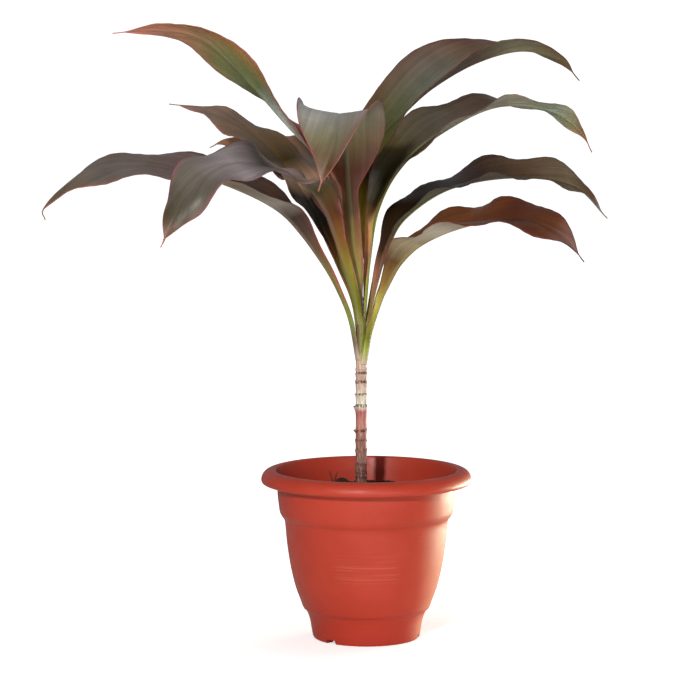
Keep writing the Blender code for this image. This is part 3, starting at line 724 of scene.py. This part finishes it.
def grow_leaf(node, leaf, finish):
    """A leaf: a flat grid shaped to its sheet, thickened downward, with places on it kept for the skin."""
    points, thickness, half, length = leaf_sheet(leaf, LEAF_ROWS, LEAF_COLUMNS)
    share = np.linspace(0, 1, LEAF_ROWS + 1)[:, None] + np.zeros((1, LEAF_COLUMNS + 1))
    across = np.linspace(-1, 1, LEAF_COLUMNS + 1)[None, :] + 0 * share
    from_rib = half[:, None] * np.abs(across)
    skins = {"along": share, "across": across, "from_rib": from_rib, "from_margin": half[:, None] - from_rib,
             "vein": share * length - VEIN_SLANT * from_rib}
    bm = bmesh.new()
    bmesh.ops.create_grid(bm, x_segments=LEAF_ROWS, y_segments=LEAF_COLUMNS, size=1)
    layers = {key: bm.verts.layers.float.new(key) for key in skins}
    depth = bm.verts.layers.deform.verify()
    for vert in bm.verts:
        spot = (round((vert.co.x + 1) / 2 * LEAF_ROWS), round((vert.co.y + 1) / 2 * LEAF_COLUMNS))
        vert.co = points[spot] * MM
        vert[depth][0] = float(thickness[spot] / RIB_THICKNESS)
        for key, layer in layers.items():
            vert[layer] = float(skins[key][spot])
    count = len(bm.verts)
    bm.normal_update()
    piece = object_of(node.replace("leaf_", "blade_"), bm, 60)
    piece.vertex_groups.new(name="thickness")
    solidify = piece.modifiers.new("thickness", "SOLIDIFY")
    solidify.thickness = RIB_THICKNESS * MM
    solidify.offset = -1
    solidify.vertex_group = "thickness"
    solidify.use_even_offset = False
    apply_modifiers(piece)
    below = [float(all(index >= count for index in face.vertices)) for face in piece.data.polygons]
    piece.data.attributes.new("underside", "FLOAT", "FACE").data.foreach_set("value", below)
    piece.data.materials.append(finish)
    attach(piece, "root")
    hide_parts(node)


grow_leaf("leaf_right_low", dict(
    path=[(0.3, -1.4, 262), (5, -5, 290), (11, -11, 312), (18, -21, 336), (31, -36, 362),
          (54, -54, 383), (94, -82, 400), (141, -106, 407), (177, -122, 392), (196, -128, 369)],
    heading=(-15, -25, -25, -22, -18), roll=(0, 0, 2, 7, 13, 13, 22, 34, 30),
    fold=(30, 38, 44, 43, 29, 25, 20, 16, 10), bend=(20, 10, -5, -15, -20), width=66, foot=7.4, waves=4,
    ripple=3.5, phase=(0.45, 0.76)),
    leaf_material(
        "right low leaf",
        face=[(0.0, (0.6, 0.46, 0.36)), (0.06, (0.4, 0.36, 0.1)), (0.15, (0.35, 0.14, 0.04)),
              (0.28, (0.16, 0.06, 0.035)), (0.45, (0.13, 0.05, 0.015)), (0.6, (0.18, 0.045, 0.005)),
              (0.75, (0.08, 0.015, 0.002)), (0.87, (0.125, 0.04, 0.017)), (0.95, (0.24, 0.13, 0.11)),
              (1.0, (0.3, 0.2, 0.15))],
        underside=[(0.0, (0.7, 0.5, 0.42)), (0.04, (0.45, 0.52, 0.1)), (0.08, (0.22, 0.23, 0.02)),
                   (0.13, (0.32, 0.3, 0.04)), (0.18, (0.5, 0.45, 0.08)), (0.27, (0.28, 0.16, 0.04)),
                   # Painted highlight: the pale stops at 0.43 and 0.52 on the underside, near the lower
                   # margin.
                   (0.34, (0.13, 0.065, 0.02)), (0.43, (0.38, 0.32, 0.2)), (0.52, (0.58, 0.52, 0.4)),
                   (0.64, (0.26, 0.16, 0.12)), (0.76, (0.13, 0.045, 0.02)), (1.0, (0.3, 0.2, 0.15))],
        margin=[(0.0, (0.6, 0.3, 0.24)), (0.12, (0.36, 0.1, 0.09)), (0.3, (0.14, 0.04, 0.035)),
                (0.6, (0.16, 0.03, 0.015)), (1.0, (0.12, 0.04, 0.03))],
        rib=(0.34, 0.28, 0.1), margin_width=1.2, gloss=0.25))


# The third leaf on the right: the widest reach, with a dark face that is browner outward.
# Near the stalk painted shade makes the face nearly black.
# It arches over and hangs a dry grey thread; a pale green midrib shows along its lower edge.
grow_leaf("leaf_right_third", dict(
    path=[(-0.3, 0.7, 282), (4, 6, 306), (11, 13, 338), (20, 24, 373), (38, 40, 401), (81, 60, 427),
          (144, 80, 436), (202, 92, 427), (236, 98, 395)],
    heading=(8, 15, 15, 15, 12), roll=(0, 0, 15, 12, 0, 11, 24, 38, 34),
    fold=(30, 34, 42, 36, 12, 25, 26, 29, 20), bend=(20, 10, -5, -8, -10), width=64, foot=6.0,
    waves=4.6, ripple=3.5, phase=(0.95, 0.68)),
    leaf_material(
        "right third leaf",
        face=[(0.0, SHEATH_FACE), (0.08, (0.36, 0.28, 0.06)), (0.18, (0.4, 0.17, 0.11)),
              # Painted shade: the near-black stops from 0.25 to 0.5 deepen the face's own dark colour.
              (0.25, (0.05, 0.02, 0.008)), (0.32, (0.03, 0.014, 0.005)), (0.5, (0.005, 0.003, 0.001)),
              (0.6, (0.055, 0.032, 0.026)), (0.72, (0.1, 0.058, 0.034)), (0.85, (0.14, 0.105, 0.065)),
              (0.93, (0.13, 0.065, 0.035)), (1.0, (0.34, 0.3, 0.28))],
        underside=[(0.0, SHEATH_UNDERSIDE), (0.08, (0.36, 0.3, 0.06)), (0.18, (0.24, 0.1, 0.05)),
                   (0.3, (0.08, 0.065, 0.012)), (0.42, (0.13, 0.12, 0.06)), (0.55, (0.06, 0.04, 0.022)),
                   (0.8, (0.11, 0.075, 0.045)), (1.0, (0.34, 0.3, 0.28))],
        margin=[(0.0, (0.5, 0.2, 0.14)), (0.2, (0.3, 0.08, 0.07)), (0.32, (0.03, 0.012, 0.01)),
                (0.6, (0.06, 0.025, 0.02)), (0.8, (0.12, 0.07, 0.05)), (1.0, (0.3, 0.26, 0.24))],
        rib=(0.3, 0.34, 0.1), rib_strength=0.9, gloss=0.14))


# The second leaf on the right: a brown face, painted black with shade at the base, twisting until its
# underside shows.
# Past the twist it is pale grey-green, and it dries to orange-brown at the tip.
grow_leaf("leaf_right_second", dict(
    path=[(-1.1, 0.3, 299), (1, 3, 325), (4, 8, 361), (9, 15, 406), (31, 22, 447), (70, 30, 480),
          (123, 40, 505), (174, 48, 502), (205, 54, 482), (217, 56, 461)],
    heading=(2, 9, 12, 10, 8), roll=(0, 8, 26, 38, 27, 10, -5, -20, -25), fold=(30, 52, 38, 18, 5),
    bend=(20, 10, -5, -15, -20), width=70, foot=4.8, waves=4.5, ripple=3.5, phase=(0.3, 0.55)),
    leaf_material(
        "right second leaf",
        face=[(0.0, SHEATH_FACE), (0.08, (0.55, 0.45, 0.1)), (0.18, (0.75, 0.35, 0.18)),
              # Painted shade: the near-black stops at 0.3 and 0.36 deepen the face's own brown.
              (0.24, (0.75, 0.38, 0.12)), (0.3, (0.08, 0.05, 0.004)), (0.36, (0.025, 0.018, 0.002)),
              (0.45, (0.055, 0.04, 0.01)), (0.56, (0.12, 0.1, 0.075)), (0.66, (0.105, 0.068, 0.048)),
              (0.8, (0.1, 0.06, 0.04)), (1.0, (0.24, 0.1, 0.05))],
        underside=[(0.0, SHEATH_UNDERSIDE), (0.05, (0.36, 0.42, 0.05)), (0.13, (0.5, 0.65, 0.1)),
                   (0.21, (0.6, 0.7, 0.14)), (0.28, (0.36, 0.34, 0.06)), (0.4, (0.16, 0.16, 0.07)),
                   (0.52, (0.26, 0.26, 0.17)), (0.64, (0.38, 0.36, 0.29)), (0.74, (0.38, 0.35, 0.26)),
                   (0.84, (0.33, 0.4, 0.29)), (0.92, (0.26, 0.22, 0.12)), (0.97, (0.36, 0.13, 0.06)),
                   (1.0, (0.24, 0.08, 0.03))],
        margin=[(0.0, (0.6, 0.2, 0.16)), (0.24, (0.6, 0.15, 0.14)), (0.33, (0.08, 0.025, 0.02)),
                (0.55, (0.12, 0.05, 0.035)), (0.8, (0.3, 0.22, 0.16)), (1.0, (0.35, 0.12, 0.07))],
        rib=(0.5, 0.55, 0.18), rib_strength=0.7, gloss=0.25))


# The highest leaf on the right: the broadest, standing behind the others and arching over to the right.
# It is olive and grey on its face, and past the crest the drab underside turns to view.
grow_leaf("leaf_right_top", dict(
    path=[(-4.4, 3.7, 321.5), (-6.5, 22.5, 339), (-4, 44, 392), (1, 62, 436), (11, 74, 469),
          (32, 84, 493), (64, 92, 522), (108, 98, 547), (152, 100, 558), (189, 102, 548),
          (208, 104, 529)],
    heading=(74, 36, 18, 12, 10), roll=(0, 10, 34, 46, 36, 24, 8, -20, -25), fold=(30, 40, 50, 34, 10),
    bend=(20, 10, -5, -10, -20), width=80, foot=2.7, waves=3, ripple=2, phase=(0.2, 0.6)),
    leaf_material(
        "right top leaf",
        face=[(0.0, SHEATH_FACE), (0.1, (0.3, 0.25, 0.06)), (0.22, (0.45, 0.34, 0.01)),
              (0.33, (0.09, 0.036, 0.008)), (0.42, (0.115, 0.12, 0.033)), (0.52, (0.115, 0.12, 0.06)),
              (0.62, (0.17, 0.165, 0.13)), (0.73, (0.155, 0.105, 0.065)), (0.88, (0.12, 0.08, 0.05)),
              (1.0, (0.1, 0.06, 0.04))],
        underside=[(0.0, SHEATH_UNDERSIDE), (0.08, (0.38, 0.42, 0.09)), (0.3, (0.2, 0.24, 0.05)),
                   (0.45, (0.12, 0.1, 0.04)), (0.62, (0.07, 0.036, 0.006)), (0.72, (0.105, 0.05, 0.018)),
                   (0.82, (0.21, 0.19, 0.11)), (0.92, (0.17, 0.13, 0.06)), (0.97, (0.17, 0.08, 0.04)),
                   (1.0, (0.16, 0.14, 0.13))],
        margin=[(0.0, (0.55, 0.2, 0.14)), (0.3, (0.2, 0.05, 0.035)), (0.5, (0.16, 0.045, 0.035)),
                (1.0, (0.14, 0.05, 0.035))],
        rib=(0.2, 0.21, 0.09), rib_strength=0.4, blush=(0.15, 0.05, 0.035), blush_strength=0.5, gloss=0.3))


# The highest leaf on the left: narrow and nearly straight, seen from underneath, so its green side shows.
# Its upper edge and tip have turned orange-brown and its lower edge is pink-red.
grow_leaf("leaf_left_top", dict(
    path=[(-7.5, 0.5, 322), (-13, 11, 346), (-20, 19, 393), (-29, 28, 431), (-47, 38, 459),
          (-74, 48, 487), (-111, 56, 527), (-155, 60, 568), (-198, 60, 578), (-243, 58, 575)],
    heading=(160, 168, 170, 174, 178), roll=(0, 0, -30, -26, 8, 34, 40, 30, 20),
    fold=(30, 30, 20, 10, 0), bend=(20, 10, -10, -20, -20), width=56, foot=2.4, waves=3, ripple=2.5,
    phase=(0.75, 0.5)),
    leaf_material(
        "left top leaf",
        face=[(0.0, SHEATH_FACE), (0.1, (0.3, 0.2, 0.05)), (0.25, (0.14, 0.07, 0.02)),
              (0.36, (0.2, 0.05, 0.04)), (0.5, (0.2, 0.06, 0.05)), (0.8, (0.22, 0.1, 0.06)),
              (1.0, (0.4, 0.16, 0.1))],
        underside=[(0.0, SHEATH_UNDERSIDE), (0.1, (0.36, 0.36, 0.08)), (0.25, (0.22, 0.16, 0.05)),
                   # Painted highlight: the pale silver stop at 0.5 is a highlight on the underside.
                   (0.4, (0.24, 0.17, 0.12)), (0.5, (0.5, 0.54, 0.5)), (0.6, (0.13, 0.17, 0.06)),
                   (0.72, (0.18, 0.17, 0.06)), (0.82, (0.36, 0.18, 0.09)), (0.9, (0.5, 0.2, 0.14)),
                   (0.97, (0.5, 0.17, 0.13)), (1.0, (0.3, 0.22, 0.18))],
        margin=[(0.0, (0.55, 0.22, 0.16)), (0.4, (0.36, 0.08, 0.09)), (0.7, (0.36, 0.07, 0.08)),
                (1.0, (0.5, 0.15, 0.12))],
        rib=(0.3, 0.29, 0.16), rib_strength=0.35, blush=(0.36, 0.15, 0.03), blush_strength=0.7,
        margin_width=1.5, gloss=0.35))


# The second leaf on the left: it leans back behind the others, grey-brown on its face with pink edges.
# Close to the stalk the face is olive, and painted shade makes it nearly black.
grow_leaf("leaf_left_second", dict(
    path=[(-9.1, 2.2, 289), (-14, 5, 321), (-25, 14, 349), (-39, 40, 382), (-58, 84, 417),
          (-86, 112, 454), (-123, 138, 483), (-160, 158, 500), (-196, 172, 505)],
    heading=(152, 155, 148, 148, 150), roll=(0, -5, -15, -24, -14, -10, -14, -20, -20),
    fold=(30, 30, 25, 10, 0), bend=(20, 10, -10, -20, -20), width=54, foot=4.4, waves=4.35, ripple=3.5,
    phase=(0.64, 0.52)),
    leaf_material(
        "left second leaf",
        face=[(0.0, SHEATH_FACE), (0.08, (0.3, 0.34, 0.06)), (0.16, (0.26, 0.2, 0.05)),
              # Painted shade: the near-black stops from 0.23 to 0.45 are the face in deep shade.
              (0.23, (0.09, 0.03, 0.004)), (0.3, (0.02, 0.006, 0.001)), (0.45, (0.006, 0.004, 0.001)),
              (0.52, (0.36, 0.22, 0.14)), (0.6, (0.05, 0.03, 0.003)), (0.74, (0.18, 0.11, 0.06)),
              (0.85, (0.24, 0.16, 0.115)), (0.94, (0.32, 0.16, 0.13)), (1.0, (0.22, 0.14, 0.12))],
        underside=[(0.0, SHEATH_UNDERSIDE), (0.08, (0.34, 0.32, 0.08)), (0.2, (0.16, 0.06, 0.015)),
                   (0.5, (0.2, 0.15, 0.1)), (0.8, (0.22, 0.15, 0.11)), (1.0, (0.22, 0.14, 0.11))],
        margin=[(0.0, (0.5, 0.2, 0.15)), (0.3, (0.3, 0.06, 0.07)), (0.45, (0.08, 0.03, 0.02)),
                (0.6, (0.22, 0.09, 0.06)), (0.8, (0.34, 0.13, 0.12)), (1.0, (0.42, 0.18, 0.16))],
        rib=(0.2, 0.17, 0.07), rib_strength=0.3, gloss=0.22))


# The longest leaf on the left: a level arch of grey-mauve with a thin drip tip.
# Its stalk leaves the cane lowest on that side and has a bright red edge.
grow_leaf("leaf_left_long", dict(
    path=[(-10.4, 0, 266), (-17, -2, 303), (-27, -6, 330), (-40, -12, 358), (-58, -22, 386),
          (-81, -36, 411), (-118, -50, 431), (-163, -60, 446), (-218, -66, 454), (-264, -68, 442),
          (-297, -68, 415), (-297, -67, 403)],
    heading=(180, 188, 190, 188, 184), roll=(0, 0, 0, -5, -14, -20, -22, -25, -25),
    fold=(30, 44, 30, 10, 0), bend=(20, 10, -10, -20, -20), width=64, foot=7.3, waves=4, ripple=3,
    phase=(0.2, 0.6)),
    leaf_material(
        "left long leaf",
        face=[(0.0, SHEATH_FACE), (0.07, (0.3, 0.18, 0.06)), (0.18, (0.24, 0.03, 0.015)),
              # Painted shade: the dark stops from 0.26 to 0.36 on the face are its inside in shadow.
              (0.26, (0.05, 0.018, 0.008)), (0.36, (0.05, 0.022, 0.012)), (0.44, (0.15, 0.075, 0.045)),
              (0.52, (0.12, 0.075, 0.055)), (0.62, (0.165, 0.11, 0.105)), (0.74, (0.18, 0.135, 0.11)),
              (0.83, (0.15, 0.12, 0.105)), (0.92, (0.15, 0.1, 0.045)), (1.0, (0.34, 0.13, 0.09))],
        underside=[(0.0, (0.64, 0.46, 0.38)), (0.04, (0.24, 0.17, 0.11)), (0.09, (0.23, 0.3, 0.05)),
                   (0.18, (0.24, 0.2, 0.045)), (0.26, (0.14, 0.08, 0.035)), (0.33, (0.075, 0.04, 0.028)),
                   (0.37, (0.05, 0.025, 0.015)), (0.42, (0.4, 0.34, 0.29)), (0.52, (0.26, 0.2, 0.12)),
                   (0.8, (0.18, 0.125, 0.09)), (1.0, (0.34, 0.13, 0.09))],
        margin=[(0.0, (0.5, 0.2, 0.16)), (0.1, (0.44, 0.08, 0.08)), (0.28, (0.5, 0.06, 0.07)),
                (0.36, (0.16, 0.06, 0.05)), (0.7, (0.16, 0.08, 0.07)), (0.9, (0.32, 0.11, 0.07)),
                (1.0, (0.36, 0.14, 0.1))],
        rib=(0.26, 0.22, 0.17), rib_strength=0.4, margin_width=1.4, gloss=0.35))


# The leaf that comes forward on the left: a dark face painted grey with sheen, and a maroon upper edge.
# It is bent sharply down at its end.
# Its olive stalk carries a pink-purple edge and a red-brown channel.
grow_leaf("leaf_front_left", dict(
    path=[(-7.4, -4.0, 299), (-11, -14, 321), (-19, -28, 352), (-29, -46, 387), (-39, -64, 414),
          (-55, -86, 436), (-83, -112, 452), (-116, -138, 459), (-145, -160, 449), (-167, -176, 420),
          (-183, -184, 386)],
    heading=(242, 238, 230, 236, 258), roll=(0, 0, 0, -4, -16, -26, -14, -8, 0),
    fold=(30, 42, 16, 10, 0), bend=(20, 10, -5, -15, -20), width=64, foot=5.4, waves=4.1, ripple=6,
    phase=(0.13, 0.13), closing=0.85),
    leaf_material(
        "front left leaf",
        face=[(0.0, SHEATH_FACE), (0.08, (0.34, 0.2, 0.05)), (0.22, (0.28, 0.07, 0.02)),
              # Painted sheen: the grey stops at 0.38, 0.5 and 0.7 stand for white sheen on the dark face.
              (0.38, (0.42, 0.3, 0.32)), (0.5, (0.42, 0.27, 0.23)), (0.6, (0.03, 0.015, 0.002)),
              (0.7, (0.32, 0.27, 0.28)), (0.8, (0.145, 0.125, 0.1)), (0.92, (0.07, 0.055, 0.03)),
              (0.97, (0.2, 0.09, 0.05)), (1.0, (0.4, 0.15, 0.09))],
        underside=[(0.0, (0.35, 0.34, 0.1)), (0.05, (0.18, 0.19, 0.01)), (0.16, (0.25, 0.22, 0.02)),
                   (0.25, (0.21, 0.09, 0.01)), (0.34, (0.1, 0.028, 0.004)), (0.44, (0.085, 0.065, 0.022)),
                   (0.55, (0.25, 0.2, 0.19)), (0.9, (0.18, 0.15, 0.12)), (1.0, (0.36, 0.14, 0.08))],
        margin=[(0.0, (0.6, 0.2, 0.16)), (0.3, (0.46, 0.1, 0.14)), (0.45, (0.12, 0.03, 0.045)),
                (0.7, (0.14, 0.04, 0.05)), (0.85, (0.36, 0.11, 0.13)), (1.0, (0.4, 0.12, 0.08))],
        rib=(0.24, 0.21, 0.17), rib_strength=0.25, margin_width=1.1, gloss=0.35))


# The leaf that comes forward in the middle: it rises, then curls over toward the viewer like a hood.
# Its face is grey-green with a painted white sheen at the crest, its edges are red-pink with painted shade
# where they curl at the crest, and its underside is brown-olive.
grow_leaf("leaf_front_middle", dict(
    path=[(-5.3, -3.7, 310.5), (-8, -8, 334), (-12, -16, 377), (-16, -28, 424), (-19, -48, 467),
          (-24, -78, 498), (-26, -114, 499), (-32, -140, 470), (-44, -150, 434)],
    heading=(266, 262, 250, 240, 235), roll=(0, 0),
    fold=(30, 25, 20, 14, 10, 5, 6, 18, 15),
    bend=(20, 20, 20, 20, 20, 20, 20, 20, 25, 40, 70, 85, 70, 35, 15, 10, 0),
    width=85, foot=3.3, waves=2, ripple=1, phase=(0.2, 0.6), edge=6, stalk=0.36, closing=1.1),
    leaf_material(
        "front middle leaf",
        face=[(0.0, SHEATH_FACE), (0.1, (0.4, 0.36, 0.08)), (0.25, (0.3, 0.1, 0.03)),
              # Painted sheen: the near-white stops at 0.66 and 0.74 are the crest's white sheen.
              (0.45, (0.12, 0.04, 0.02)), (0.58, (0.16, 0.13, 0.1)), (0.66, (0.48, 0.46, 0.44)),
              (0.74, (0.35, 0.34, 0.31)), (0.84, (0.21, 0.185, 0.105)), (0.93, (0.12, 0.055, 0.015)),
              (1.0, (0.3, 0.15, 0.08))],
        underside=[(0.0, (0.12, 0.07, 0.01)), (0.06, (0.16, 0.11, 0.01)), (0.12, (0.3, 0.28, 0.02)),
                   (0.16, (0.34, 0.22, 0.03)), (0.26, (0.2, 0.085, 0.005)), (0.34, (0.11, 0.04, 0.006)),
                   (0.44, (0.13, 0.028, 0.005)), (0.54, (0.27, 0.21, 0.095)), (0.66, (0.28, 0.33, 0.22)),
                   (0.85, (0.2, 0.14, 0.07)), (1.0, (0.35, 0.26, 0.09))],
        margin=[(0.0, (0.6, 0.26, 0.18)), (0.4, (0.42, 0.08, 0.08)), (0.55, (0.26, 0.06, 0.06)),
                # Painted shade: the dark stop at 0.62 is the edge's curl in shadow at the crest.
                (0.62, (0.1, 0.025, 0.025)), (0.75, (0.34, 0.1, 0.1)), (1.0, (0.36, 0.13, 0.09))],
        rib=(0.2, 0.23, 0.1), rib_strength=0.4, blush=(0.26, 0.1, 0.09), blush_strength=0.45,
        margin_width=1.3, gloss=0.5))


# The leaf at the back left: almost hidden by the others, so only its orange-brown end shows in front.
# It grows from the top of the cane, away from the viewer.
grow_leaf("leaf_back_left", dict(
    path=[(-6.3, 3.2, 315), (-8, 21, 333), (-18, 50, 367), (-33, 82, 399), (-55, 126, 431),
          (-83, 168, 454), (-117, 204, 466), (-143, 226, 466), (-159, 240, 459)],
    heading=(112, 122, 124, 126, 128), roll=(0, 0, 0, -5, -10, -20, -35, -45, -45),
    fold=(30, 30, 20, 10, 0), bend=(20, 10, -10, -20, -20), width=58, foot=3.2, waves=5, ripple=4,
    phase=(0.2, 0.6)),
    leaf_material(
        "back left leaf",
        face=[(0.0, SHEATH_FACE), (0.08, (0.3, 0.2, 0.06)), (0.24, (0.12, 0.06, 0.02)),
              (0.45, (0.1, 0.07, 0.05)), (0.6, (0.12, 0.09, 0.07)), (0.76, (0.24, 0.11, 0.05)),
              (0.88, (0.42, 0.17, 0.04)), (1.0, (0.36, 0.17, 0.08))],
        underside=[(0.0, SHEATH_UNDERSIDE), (0.08, (0.34, 0.3, 0.08)), (0.24, (0.28, 0.2, 0.05)),
                   (0.5, (0.2, 0.17, 0.1)), (0.7, (0.3, 0.15, 0.04)), (0.82, (0.5, 0.2, 0.04)),
                   (1.0, (0.42, 0.18, 0.08))],
        margin=[(0.0, (0.5, 0.2, 0.16)), (0.3, (0.3, 0.1, 0.09)), (1.0, (0.4, 0.14, 0.06))],
        rib=(0.26, 0.24, 0.1), rib_strength=0.4, gloss=0.35))


# The studio, in metres: a pale floor that runs out into white, a small key light near the camera on its
# left and a fill light on its right, a low warm light behind the pot that burns out its right side, and the
# camera.
FLOOR_SIZE = 12
KEY_PLACE = (-0.68, -3.0, 1.35)
SIDE_PLACE = (0.5, 0.4, 0.075)
FILL_PLACE = (0.9, -2.0, 0.2)
CAMERA_PLACE = (-0.0156, -2.83, 0.57)
CAMERA_TILT = 5.935
FOCAL_PIXELS = 3000
IMAGE_PIXELS = 700
SENSOR = 36

bm = bmesh.new()
bmesh.ops.create_grid(bm, x_segments=4, y_segments=4, size=FLOOR_SIZE / 2)
floor = object_of("floor", bm)
pale, tree, shader = new_material("pale floor", 0.7)
place = object_place(tree)
tree.links.new(mixed(tree, grain(tree, place, 3, 2), (0.93, 0.93, 0.92, 1), (0.96, 0.96, 0.95, 1)),
               shader.inputs["Base Color"])
shader.inputs["Emission Color"].default_value = (1, 1, 1, 1)
seen = add_node(tree, "LightPath").outputs["Is Camera Ray"]
away = add_node(tree, "VectorMath", dict(operation="LENGTH"), i0=place).outputs["Value"]
tree.links.new(times(tree, seen, between(tree, away, 0.07, 0.3, 0.55, 1)),
               shader.inputs["Emission Strength"])
floor.data.materials.append(pale)


def studio_light(name, place, aim, size, power, colour, spread=180, height=None):
    """A soft lamp turned to a point, square unless its height is given."""
    lamp = bpy.data.lights.new(name, "AREA")
    lamp.spread = math.radians(spread)
    lamp.size = size
    if height:
        lamp.shape = "RECTANGLE"
        lamp.size_y = height
    lamp.energy = power
    lamp.color = colour
    made = bpy.data.objects.new(name, lamp)
    made.location = place
    made.rotation_euler = (Vector(aim) - Vector(place)).to_track_quat("-Z", "Y").to_euler()
    bpy.context.scene.collection.objects.link(made)


studio_light("key", KEY_PLACE, (0, 0, 0.25), 0.16, 62, (1, 0.98, 0.96))
studio_light("fill", FILL_PLACE, (0, 0, 0.42), 0.9, 9, (1, 0.99, 0.97), height=0.34)
studio_light("side", SIDE_PLACE, (0.03, 0, 0.055), 0.7, 1.2, (1, 0.92, 0.72), spread=60, height=0.13)

world = bpy.data.worlds.new("white studio")
bpy.context.scene.world = world
world.use_nodes = True
tree = world.node_tree
ray = tree.nodes.new("ShaderNodeLightPath").outputs
surround = tree.nodes["Background"]
surround.inputs["Color"].default_value = (1, 1, 1, 1)
toward = add_node(tree, "SeparateXYZ", Vector=add_node(tree, "TexCoord").outputs["Generated"]).outputs
sheen = times(tree, between(tree, toward["Y"], -0.1, 0.7, 0, 0.15), ray["Is Glossy Ray"])
strength = maths(tree, "ADD", sheen, 0.2)
tree.links.new(maths(tree, "ADD", times(tree, ray["Is Camera Ray"], 0.9), strength),
               surround.inputs["Strength"])
bpy.context.scene.view_settings.view_transform = "Standard"

camera = bpy.data.objects.new("camera", bpy.data.cameras.new("camera"))
camera.location = CAMERA_PLACE
camera.rotation_euler = (math.radians(90 - CAMERA_TILT), 0, 0)
camera.data.sensor_width = SENSOR
camera.data.lens = FOCAL_PIXELS / IMAGE_PIXELS * SENSOR
camera.data.clip_end = 50
bpy.context.scene.collection.objects.link(camera)
bpy.context.scene.camera = camera
